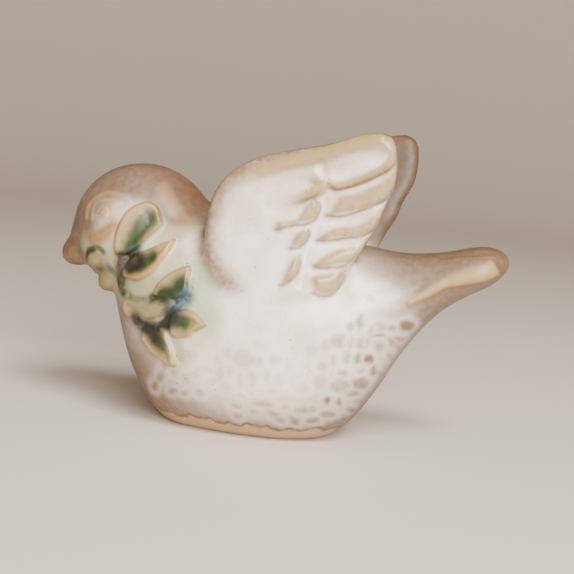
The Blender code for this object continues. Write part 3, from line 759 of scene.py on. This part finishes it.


# the glaze is palest in the middle of the flanks and warmer all round that, partly its own tone and partly
# painted shade; browner where the surface turns away from the flanks, which is painted shade of the edges,
# and at some places, partly glaze tone and partly painted shade of the beak, head, breast and tail tip; the
# last two places are painted shade on the face round the eye: x, z, reach, strength
warmthAndShade = {
    "palest": (6, 28), "reach": (36, 26), "fade": (0.5, 1.08), "turned": (0.62, 0.05), "turnedShare": 0.68,
    "brownAndShade": [(-50, 37, 8.5, 0.95), (-17, 55, 8, 0.8), (-36, 60, 8, 0.3), (61, 46, 8, 0.75),
              (-32, 6, 10, 0.65), (-35, 22, 8, 0.8), (-42, 46, 6, 0.5), (-26, 10, 8, 0.6),
              (-27, 46, 9, 0.4), (-34, 45, 6, 0.45)],
}


def warmAndShadeField(x, z):
    # partly glaze tone, partly painted shade: darker and warmer with distance from the middle of the flanks
    (middleX, middleZ), (reachX, reachZ) = warmthAndShade["palest"], warmthAndShade["reach"]
    return ease(*warmthAndShade["fade"], np.hypot((x - middleX) / reachX, (z - middleZ) / reachZ))


def brownAndShadeField(x, z, sideways):
    # painted shade where the surface turns away from the flanks, and at the listed places, partly glaze tone
    field = warmthAndShade["turnedShare"] * ease(*warmthAndShade["turned"], sideways)
    for placeX, placeZ, reach, strength in warmthAndShade["brownAndShade"]:
        field = np.maximum(field, strength * bell(np.hypot(x - placeX, z - placeZ), reach))
    return field


def stainField(x, z, strokes):
    field = np.zeros(x.shape)
    for path, spread, strength in strokes:
        field = np.maximum(field, strength * stroke(x, z, path, 1.5 * spread, 0.3 * spread))
    return field


def leftFacing(mesh):
    return ease(0.05, 0.35, -getPoints(mesh, "normal")[:, 1]) * (getPoints(mesh)[:, 1] < 0)


def stainAndShade(mesh):
    x, y, z = inMm(mesh)
    left = leftFacing(mesh)
    for name, strokes in stains.items():
        store(mesh, name, stainField(x, z, strokes) * left)
    fruit = np.zeros(len(x))
    for centreX, centreY, centreZ, radius in berries:
        distance = np.sqrt((x - centreX) ** 2 + (y - centreY) ** 2 + (z - centreZ) ** 2)
        fruit = np.maximum(fruit, ease(radius + 0.7, radius + 0.2, distance))
    store(mesh, "berry", fruit)
    outward = getPoints(mesh, "normal")[:, 1] * np.sign(y)
    bodyOnly = 1 - onWing(y, z) * ease(-0.1, 0.3, outward)
    # painted shade, partly glaze tone: warmer away from the flanks' middle, browner at the edges, head, beak,
    # breast and tail tip
    store(mesh, "warmAndShade", warmAndShadeField(x, z) * bodyOnly)
    store(mesh, "brownAndShade", brownAndShadeField(x, z, abs(outward)) * (0.7 + 0.3 * bodyOnly))


def fillDark(thing):
    # where the stain is darkest the glaze ran thick and filled the carving
    x, y, z = inMm(thing.data)
    smooth(thing, fillPasses, stainField(x, z, stains["dark"] + stains["blue"]) * leftFacing(thing.data))


def flattenFoot(mesh):
    points = getPoints(mesh)
    z = points[:, 2] / mm
    roll = body["footRoll"]
    points[:, 2] = mm * np.where(z < -roll, 0, np.where(z < roll, (z + roll) ** 2 / (4 * roll), z))
    setPoints(mesh, points)


fillDark(dove)
stainAndShade(dove.data)
flattenFoot(dove.data)


def node(tree, kind, inputs=(), operation=None, **settings):
    # adds a node with its settings; nodes and sockets among its inputs are linked, the rest are values
    made = tree.nodes.new(kind if "Node" in kind else "ShaderNode" + kind)
    if operation:
        made.operation = operation
    for name, value in settings.items():
        setattr(made, name, value)
    named = isinstance(inputs, dict)
    sockets = made.inputs if named else [socket for socket in made.inputs if socket.enabled]
    for key, value in (inputs.items() if named else enumerate(inputs)):
        if isinstance(value, bpy.types.Node):
            value = next(socket for socket in value.outputs if socket.enabled)
        if isinstance(value, bpy.types.NodeSocket):
            tree.links.new(value, sockets[key])
        elif value is not None:
            sockets[key].default_value = value
    return made


softly = {"interpolation_type": "SMOOTHSTEP"}

# crocheted lace was pressed into the belly: each cell is a low pad of thinner glaze
# between threads where the glaze pooled. Cell: x, z, half width, half height, strength, and tilt
# where it leans
lace = {
    "inputs": {"Depth": 0.16, "Softness": 0.9, "Wobble": 0.3, "Seed": 4, "Foot line": 4.5, "Foot wave": 1.0},
    "sizes": (1.0, 1.25), "ripples": 420.0,
    # distances out from a cell's edge over which its pad rises, and over which the thread beside it does
    "edge": (0.7, -1.0), "thread": (2.2, 0.2),
    # heights over the foot line over which the band fades and its edge shows, how far the band lies
    # below the glaze, and heights over which the carving fades out above the ground
    "bandEdge": (0.35, -0.15), "line": (0.9, -0.7), "step": -0.9, "ground": (0.2, 1.2),
    # how many scallops in half a turn, how deep each hangs, and where they start
    "scallops": [(11.0, 0.8, 0.4), (4.0, 0.7, 1.1), (23.0, 0.25, 2.0)],
    "cells": [
        (4.1, 20, 2.4, 2, 0.21), (11.2, 20.2, 1.6, 1.1, 0.29), (7.8, 23.5, 1.5, 1.5, 0.14),
        (-4.4, 15.8, 1.5, 1.4, 0.14), (24.7, 26.1, 1.9, 1.5, 0.54), (29.4, 25.8, 1.7, 1.5, 0.6),
        (32.9, 25.1, 1.2, 1.3, 0.6), (3.6, 14.9, 0.9, 1.6, 0.2), (6.4, 15.3, 0.9, 1.6, 0.24),
        (9.8, 16.5, 0.7, 1.8, 0.28), (12.4, 15.9, 1, 1.6, 0.14), (23.7, 21.8, 0.7, 1.3, 0.42),
        (26.4, 22.4, 0.8, 1.5, 0.6), (28.7, 22.2, 0.7, 1.6, 1), (30.9, 22.1, 1.2, 1.4, 0.96, 20),
        (31.9, 19.2, 0.7, 1.5, 1), (6, 12, 0.9, 0.4, 0.24), (10.9, 12.9, 0.8, 0.4, 0.17),
        (25.8, 18.5, 1, 0.7, 0.54), (29.5, 19.3, 0.9, 0.6, 0.48), (21.4, 20, 1.2, 1.2, 0.36),
        (19, 23.4, 1.8, 1.4, 0.14), (25.4, 15.3, 1.9, 1.6, 0.48), (29.3, 16, 1.8, 1.5, 0.72),
        (22.7, 11.6, 0.7, 1, 1), (25.1, 11.4, 0.5, 1, 1), (26.7, 29.5, 0.8, 1.2, 0.6),
        (28.6, 30.8, 1, 1.8, 0.66), (30.2, 35.7, 1.2, 0.6, 0.45, 20), (32.9, 27.8, 1.3, 0.5, 1),
        (30.6, 26.2, 0.7, 0.8, 0.48), (32.8, 29.8, 1.5, 1.2, 0.36), (38.4, 30.2, 1.3, 1.2, 1),
        (35.4, 29.6, 0.9, 0.7, 0.6), (35.5, 26.1, 0.6, 1.5, 0.72, -30), (37.1, 26.9, 0.9, 0.6, 0.72, 20),
        (36.8, 24.6, 0.5, 1.2, 0.6, -30), (35.1, 22.2, 0.4, 1.2, 0.6, -20), (33, 24.8, 0.9, 1, 0.48),
        (8.8, 9.7, 2.2, 1, 0.39), (6.6, 7.5, 1.2, 0.7, 0.35), (11, 7.5, 1.4, 0.8, 0.35),
        (14, 9.3, 1, 0.5, 0.36), (17.5, 9, 1.5, 0.8, 0.36), (19.4, 9.3, 0.8, 0.7, 0.48, 30),
        (15.7, 6, 0.9, 1.3, 0.5, -40), (22.9, 8.1, 1.5, 0.8, 0.42), (-3.5, 13.9, 1.4, 1.2, 0.11),
        (0.1, 13, 1.2, 1.4, 0.14), (-16.5, 12.5, 1, 2, 0.24, 30), (-8.1, 19, 1.5, 1.2, 0.1),
        (-11.8, 18.1, 1.4, 1.2, 0.1), (-9.5, 13.4, 1.2, 1.4, 0.11, 10), (-13.4, 9.4, 1.2, 0.7, 0.35, -20),
        (-1.9, 19, 1.2, 1.5, 0.11), (-6.2, 10.4, 1.3, 1, 0.2), (2.6, 8.4, 1.1, 0.8, 0.28),
        (0.2, 20.8, 1, 1.3, 0.18, 10), (7.8, 19.6, 0.8, 1.4, 0.2), (14.3, 19.2, 1, 1.4, 0.18, -15),
        (15, 15.8, 0.8, 1.5, 0.16, -10), (17.6, 14.6, 1.3, 1.1, 0.14), (21.3, 16.2, 1.3, 1.4, 0.3),
        (21.9, 24.8, 1, 1.4, 0.36), (27, 26, 0.9, 1.4, 0.54), (31.2, 28.4, 0.8, 1.2, 0.54),
        (27.6, 13.4, 1.3, 0.8, 0.6, 15), (-6.9, 15, 0.9, 1.5, 0.18), (-1.2, 15.6, 0.9, 1.6, 0.2),
        (1.2, 16.4, 0.8, 1.3, 0.2), (-12.4, 14.4, 1, 1.5, 0.21, 20), (-14.8, 16, 1, 1.6, 0.21, 25),
        (-18.4, 9.6, 0.9, 1.5, 0.39, 35), (-10.2, 9.6, 1.2, 0.8, 0.24, -10), (3.8, 11.2, 1, 0.5, 0.29),
        (12.6, 6, 1, 0.7, 0.41, 20), (19.6, 6.4, 1.2, 0.8, 0.48, -20), (2.9, 5.8, 1.1, 0.6, 0.34, 20),
        (27.4, 8.8, 1, 0.7, 0.48, 20), (33.6, 17.2, 0.6, 1.3, 0.6, -25), (28.9, 28, 0.8, 0.7, 0.42),
    ],
}


def storeAround(mesh):
    # where the lace lies flat on a flank, and the angle around the foot
    x, y, z = inMm(mesh)
    store(mesh, "flank", ease(0.15, 0.45, abs(getPoints(mesh, "normal")[:, 1])))
    store(mesh, "around", np.arctan2(abs(y), x - 2) / np.pi)


def makeLaceCells():
    # one point for each cell, in the middle plane of the bird
    mesh = bpy.data.meshes.new("laceCells")
    cells = [(*cell, 0)[:6] for cell in lace["cells"]]
    x, z, halfWidth, halfHeight, strength, tilt = np.array(cells, dtype=float).T
    mesh.from_pydata([(a * mm, 0, b * mm) for a, b in zip(x, z)], [], [])
    for name, values in (("halfWidth", halfWidth), ("halfHeight", halfHeight),
                         ("tilt", np.radians(tilt)), ("strength", strength)):
        mesh.attributes.new(name, "FLOAT", "POINT").data.foreach_set("value", values.astype(np.float32))
    return addObject("laceCells", mesh)


def makeLaceTree():
    tree = bpy.data.node_groups.new("laceImpression", "GeometryNodeTree")
    sockets = {"Geometry": "Geometry", "Cells": "Object", "Depth": "Float", "Softness": "Float",
               "Wobble": "Float", "Seed": "Int", "Foot line": "Float", "Foot wave": "Float",
               "Glaze": "Material"}
    for name, kind in sockets.items():
        tree.interface.new_socket(name, in_out="INPUT", socket_type="NodeSocket" + kind)
    tree.interface.new_socket("Geometry", in_out="OUTPUT", socket_type="NodeSocketGeometry")
    add = partial(node, tree)
    given = add("NodeGroupInput").outputs
    stored = {name: add("GeometryNodeInputNamedAttribute", {"Name": name}, data_type="FLOAT")
              for name in ("halfWidth", "halfHeight", "tilt", "strength", "flank", "around")}

    # each cell is a flat oval standing in the middle plane
    points = add("GeometryNodeObjectInfo", {"Object": given["Cells"]}).outputs["Geometry"]
    circle = add("GeometryNodeMeshCircle", {"Vertices": 24, "Radius": mm}, fill_type="NGON")
    upright = add("GeometryNodeTransform", {"Geometry": circle, "Rotation": (np.pi / 2, 0, 0)})
    grow = add("FunctionNodeRandomValue", [*lace["sizes"], None, given["Seed"]], data_type="FLOAT")
    size = add("CombineXYZ", [stored["halfWidth"], 1.0, stored["halfHeight"]])
    size = add("VectorMath", {"Vector": size, "Scale": grow}, "SCALE")
    turn = add("CombineXYZ", [0.0, stored["tilt"], 0.0])
    turn = add("FunctionNodeEulerToRotation", [turn])
    ovals = add("GeometryNodeInstanceOnPoints",
                {"Points": points, "Instance": upright, "Rotation": turn, "Scale": size})
    ovals = add("GeometryNodeRealizeInstances", [ovals])

    # the surface is looked at from the side, through a slight wobble
    position = add("GeometryNodeInputPosition")
    amount = add("Math", [given["Wobble"], 4 * mm], "MULTIPLY")
    ripple = add("TexNoise", {"Vector": position, "Scale": lace["ripples"], "Detail": 1.0}).outputs["Color"]
    ripple = add("VectorMath", [ripple, (0.5, 0.5, 0.5)], "SUBTRACT")
    ripple = add("VectorMath", {"Vector": ripple, "Scale": amount}, "SCALE")
    flat = add("VectorMath", [position, ripple], "ADD")
    flat = add("VectorMath", [flat, (1, 0, 1)], "MULTIPLY")
    near = {"Geometry": ovals, "Sample Position": flat}
    toFace, toEdge = (add("GeometryNodeProximity", near, target_element=kind) for kind in ("FACES", "EDGES"))
    outside = add("Math", [toFace.outputs["Distance"], 2.0], "MULTIPLY")
    outside = add("Math", [outside, toEdge.outputs["Distance"]], "SUBTRACT")
    edges = [add("Math", [given["Softness"], reach * mm], "MULTIPLY") for reach in lace["edge"]]
    pad = add("MapRange", [outside, *edges], **softly)
    strength = add("GeometryNodeSampleNearestSurface",
                   {"Mesh": ovals, "Value": stored["strength"], "Sample Position": flat}, data_type="FLOAT")
    cell = add("Math", [pad, strength], "MULTIPLY")
    cell = add("Math", [cell, stored["flank"]], "MULTIPLY")
    beside = add("MapRange", [outside, *(reach * mm for reach in lace["thread"])], **softly)
    thread = add("Math", [beside, pad], "SUBTRACT", use_clamp=True)
    thread = add("Math", [thread, stored["flank"]], "MULTIPLY")

    # the lace ends around the foot in hanging scallops, and the band under them is plain
    wave = 0.0
    for turns, share, start in lace["scallops"]:
        angle = add("Math", [stored["around"], turns * np.pi, start], "MULTIPLY_ADD")
        scallop = add("Math", [angle], "SINE")
        scallop = add("Math", [scallop], "ABSOLUTE")
        wave = add("Math", [scallop, -share, wave], "MULTIPLY_ADD")
    height = add("SeparateXYZ", [position]).outputs["Z"]
    line = add("Math", [wave, given["Foot wave"], given["Foot line"]], "MULTIPLY_ADD")
    above = add("Math", [height, mm], "DIVIDE")
    above = add("Math", [above, line], "SUBTRACT")
    footBand = add("MapRange", [above, *lace["bandEdge"]], **softly)
    over, under = (add("MapRange", [above, reach, 0.0], **softly) for reach in lace["line"])
    footEdge = add("Math", [over, under], "MULTIPLY")

    # glaze pooled above the line stands proud of the band
    lift = add("Math", [footBand, lace["step"], cell], "MULTIPLY_ADD")
    lift = add("Math", [lift, given["Depth"]], "MULTIPLY")
    ground = add("MapRange", [height, *(place * mm for place in lace["ground"]), 0.0, mm])
    lift = add("Math", [lift, ground], "MULTIPLY")
    normal = add("GeometryNodeInputNormal")
    offset = add("VectorMath", {"Vector": normal, "Scale": lift}, "SCALE")
    shape = given["Geometry"]
    for name, value in (("lace", cell), ("thread", thread), ("footBand", footBand), ("footEdge", footEdge)):
        shape = add("GeometryNodeStoreNamedAttribute", {"Geometry": shape, "Name": name, "Value": value},
                    data_type="FLOAT", domain="POINT")
    shape = add("GeometryNodeSetPosition", {"Geometry": shape, "Offset": offset})
    shape = add("GeometryNodeRealizeInstances", [shape])
    shape = add("GeometryNodeSetMaterial", {"Geometry": shape, "Material": given["Glaze"]})
    add("NodeGroupOutput", {"Geometry": shape})
    return tree


# Glazed stoneware: iron-flecked clay under a thick milky glaze, fired in reduction. The eye sees
# soft white where the glaze pooled, tan where it ran thin over an edge, and a semi-gloss skin.
glaze = {
    "white": "#F0E4D9", "cream": "#DDCBB8",
    # attribute, colour, most of it, how far its strength wobbles
    "layers": [
        # warmAndShade and brownAndShade are partly the glaze's own tone and partly painted shade
        ("warmAndShade", "#6E543F", 0.93, 0.12),
        ("brownAndShade", "#5C3A1D", 0.90, 0.2),
        ("shoulder", "#7A5838", 0.85, 0.4),
        ("thread", "#F0E8E0", 0.35, 0.4),
        ("tan", "#A5895C", 0.85, 0.3),
        ("edge", "#6E5030", 0.85, 0.6),
        ("lace", "#765A3E", 0.95, 0.4),
        ("footBand", "#AE8F6C", 0.95, 0.2),
        ("footEdge", "#6B4B26", 0.95, 0.7),
        ("thin", "#A5834E", 0.70, 0.5),
        ("pooled", "#F0E4D9", 0.45, 0.3),
        # painted shade on the wings' inner faces
        ("inner", "#46301D", 0.95, 0.1),
        # round the sprig
        ("mint", "#A7A17A", 0.90, 0.25),
        ("teal", "#A3B28C", 0.90, 0.25),
        ("sage", "#8F7D55", 0.92, 0.2),
        ("peach", "#AE8853", 0.90, 0.3),
        ("outline", "#7A5F3C", 0.55, 0.4),
        ("berry", "#74623D", 0.92, 0.25),
        ("rust", "#8A5B26", 0.92, 0.3),
        ("vein", "#4A5A3A", 0.40, 0.5),
        ("green", "#26391A", 0.96, 0.25),
        ("blue", "#253F48", 0.92, 0.4),
        ("dark", "#1E1C0E", 0.97, 0.3),
    ],
    "clay": "#B79F80", "speck": "#A89683", "cloudSizes": (12.0, 3.5), "wobbleSize": 1.4, "speckSize": 0.55,
    "iron": "#6A4527", "ironSpacing": 2.4, "roughness": (0.18, 0.32),
    "satin": {"warmAndShade": 0.2, "inner": 0.1, "blue": 0.3, "dark": 0.12, "green": 0.15},
    "bump": 0.10, "bumpDepth": 0.25,
    # amounts of each noise between which the cream, the flecks and the iron spots come in
    "clouds": (0.58, 0.88), "flecks": (0.56, 0.74, 0.0, 0.32), "ironEdge": (0.12, 0.05),
    "ironShare": (0.5, 0.9, 0.0, 0.8), "bareHeights": (0.35, 0.12), "bareRoughness": 0.75,
}


def linear(colour):
    # sRGB hex to the linear values that a shader takes
    parts = [int(colour[i:i + 2], 16) / 255 for i in (1, 3, 5)]
    return (*[c / 12.92 if c <= 0.04045 else ((c + 0.055) / 1.055) ** 2.4 for c in parts], 1)


def newMaterial(name):
    material = bpy.data.materials.new(name)
    material.use_nodes = True
    material.node_tree.nodes.clear()
    return material, material.node_tree


def makeGlaze():
    material, tree = newMaterial("glazedStoneware")
    add = partial(node, tree)
    place = add("TexCoord").outputs["Object"]
    sizes = (*glaze["cloudSizes"], glaze["wobbleSize"], glaze["speckSize"])
    cloud, smallCloud, wobble, speck = (
        add("TexNoise", {"Vector": place, "Scale": 1 / (size * mm), "Detail": 2.0}) for size in sizes)
    cloud = add("Math", [smallCloud, 0.45, cloud], "MULTIPLY_ADD")
    cloudy = add("MapRange", [cloud, *glaze["clouds"]], **softly)
    colours = [linear(glaze["white"]), linear(glaze["cream"])]
    colour = add("Mix", [cloudy, *colours], data_type="RGBA")
    flecks = add("MapRange", [speck, *glaze["flecks"]], **softly)
    colour = add("Mix", [flecks, colour, linear(glaze["speck"])], data_type="RGBA")
    iron = add("TexVoronoi", {"Vector": place, "Scale": 1 / (glaze["ironSpacing"] * mm)})
    spot = add("MapRange", [iron.outputs["Distance"], *glaze["ironEdge"]], **softly)
    share = add("SeparateColor", [iron.outputs["Color"]]).outputs[0]
    few = add("MapRange", [share, *glaze["ironShare"]])
    spot = add("Math", [spot, few], "MULTIPLY")
    for name, tint, most, loose in glaze["layers"]:
        amount = add("Attribute", attribute_name=name).outputs["Fac"]
        uneven = add("Math", [wobble, 2 * loose * most, (1 - loose) * most], "MULTIPLY_ADD")
        amount = add("Math", [amount, uneven], "MULTIPLY", use_clamp=True)
        colour = add("Mix", [amount, colour, linear(tint)], data_type="RGBA")
    colour = add("Mix", [spot, colour, linear(glaze["iron"])], data_type="RGBA")

    # the foot's underside is bare clay, ground dull
    height = add("SeparateXYZ", [place]).outputs["Z"]
    bare = add("MapRange", [height, *(place * mm for place in glaze["bareHeights"])], **softly)
    colour = add("Mix", [bare, colour, linear(glaze["clay"])], data_type="RGBA")
    shiny, dull = glaze["roughness"]
    roughness = add("MapRange", [wobble, 0.0, 1.0, shiny, dull])
    for name, duller in glaze["satin"].items():
        amount = add("Attribute", attribute_name=name).outputs["Fac"]
        roughness = add("Math", [amount, duller, roughness], "MULTIPLY_ADD")
    bareRoughness = add("Math", [bare, glaze["bareRoughness"]], "MULTIPLY")
    roughness = add("Math", [roughness, bareRoughness], "MAXIMUM")
    relief = add("Math", [speck, 0.35, wobble], "MULTIPLY_ADD")
    bump = add("Bump", {"Strength": glaze["bump"], "Distance": glaze["bumpDepth"] * mm, "Height": relief})
    shader = add("BsdfPrincipled", {"Base Color": colour, "Roughness": roughness, "Normal": bump, "IOR": 1.5})
    add("OutputMaterial", {"Surface": shader})
    return material


def pressLace(thing, material):
    storeAround(thing.data)
    cells = makeLaceCells()
    tree = makeLaceTree()
    values = {"Cells": cells, "Glaze": material, **lace["inputs"]}
    modifier = thing.modifiers.new("laceImpression", "NODES")
    modifier.node_group = tree
    for item in tree.interface.items_tree:
        if item.in_out == "INPUT" and item.name in values:
            modifier[item.identifier] = values[item.name]
    bakeModifiers(thing)
    bpy.data.objects.remove(cells)


def storeBreaks(mesh):
    # the glaze is thin on ridges and pools in grooves: bend is 1 on a ridge of 1 mm radius
    points = getPoints(mesh)
    normals = getPoints(mesh, "normal")
    ends = np.empty(len(mesh.edges) * 2, dtype=np.int32)
    mesh.edges.foreach_get("vertices", ends)
    a, b = ends.reshape(-1, 2).T
    across = points[b] - points[a]
    squared = np.maximum((across**2).sum(axis=1), 1e-12)
    count = np.bincount(ends, minlength=len(points))
    bend = np.bincount(a, -2 * (normals[a] * across).sum(axis=1) / squared, len(points))
    bend += np.bincount(b, 2 * (normals[b] * across).sum(axis=1) / squared, len(points))
    bend = np.clip(bend / count * mm, -1.5, 1.5)
    for i in range(4):
        shared = np.bincount(a, bend[b], len(points)) + np.bincount(b, bend[a], len(points))
        bend = (bend + shared / count) / 2
    store(mesh, "thin", ease(0.12, 0.6, bend))
    warmAndShade = np.empty(len(points), dtype=np.float32)
    mesh.attributes["warmAndShade"].data.foreach_get("value", warmAndShade)
    store(mesh, "pooled", ease(-0.12, -0.5, bend) * (1 - 0.85 * warmAndShade))


glazedStoneware = makeGlaze()
pressLace(dove, glazedStoneware)
storeBreaks(dove.data)
dove.data.shade_smooth()
dove.name = "glazedDove"
dove.data.name = "glazedDove"
print("glazed:", len(dove.data.polygons), "faces")


# pale paper swept up all round, and soft studio light from the camera's side
studio = {
    "floor": "#DCD1C4", "flatRadius": 0.8, "sweepRadius": 0.6, "world": "#E4C9AF", "worldStrength": 0.34,
    # azimuth, elevation, distance, size, power, colour
    "lights": {
        "key": (34, 48, 0.9, 0.34, 10.5, "#FFFEFC"),
        "front": (26, 16, 1.0, 0.5, 17.0, "#FFFDFA"),
    },
}


def makeFloor():
    flat, sweep = studio["flatRadius"], studio["sweepRadius"]
    turns = [radians(5 * i) for i in range(15)]
    rings = [(flat / 2, 0)] + [(flat + sweep * sin(turn), sweep * (1 - cos(turn))) for turn in turns]
    paper = bmesh.new()
    rows = [[paper.verts.new((r * cos(radians(a)), r * sin(radians(a)), z)) for a in range(0, 360, 5)]
            for r, z in rings]
    paper.faces.new(rows[0])
    skinRows(paper, rows[::-1])
    floor = newObject("floor", paper)
    floor.data.shade_smooth()
    material, tree = newMaterial("mattPaper")  # seamless background paper, dull and even
    shader = node(tree, "BsdfPrincipled", {"Base Color": linear(studio["floor"]), "Roughness": 0.85})
    node(tree, "OutputMaterial", {"Surface": shader})
    floor.data.materials.append(material)


def makeLights():
    for name, (azimuth, elevation, distance, size, power, colour) in studio["lights"].items():
        toLight = direction(azimuth, elevation)
        data = bpy.data.lights.new(name, "AREA")
        data.shape = "DISK"
        data.size = size
        data.energy = power
        data.color = linear(colour)[:3]
        light = addObject(name, data)
        light.location = Vector(view["target"]) + toLight * distance
        light.rotation_euler = toLight.to_track_quat("Z", "Y").to_euler()
    world = bpy.data.worlds.new("studio")
    world.use_nodes = True
    world.node_tree.nodes.clear()
    sky = node(world.node_tree, "Background",
               {"Color": linear(studio["world"]), "Strength": studio["worldStrength"]})
    node(world.node_tree, "OutputWorld", {"Surface": sky})
    bpy.context.scene.world = world


makeFloor()
makeLights()

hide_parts("dove")
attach(dove, "root")
print("dressed")
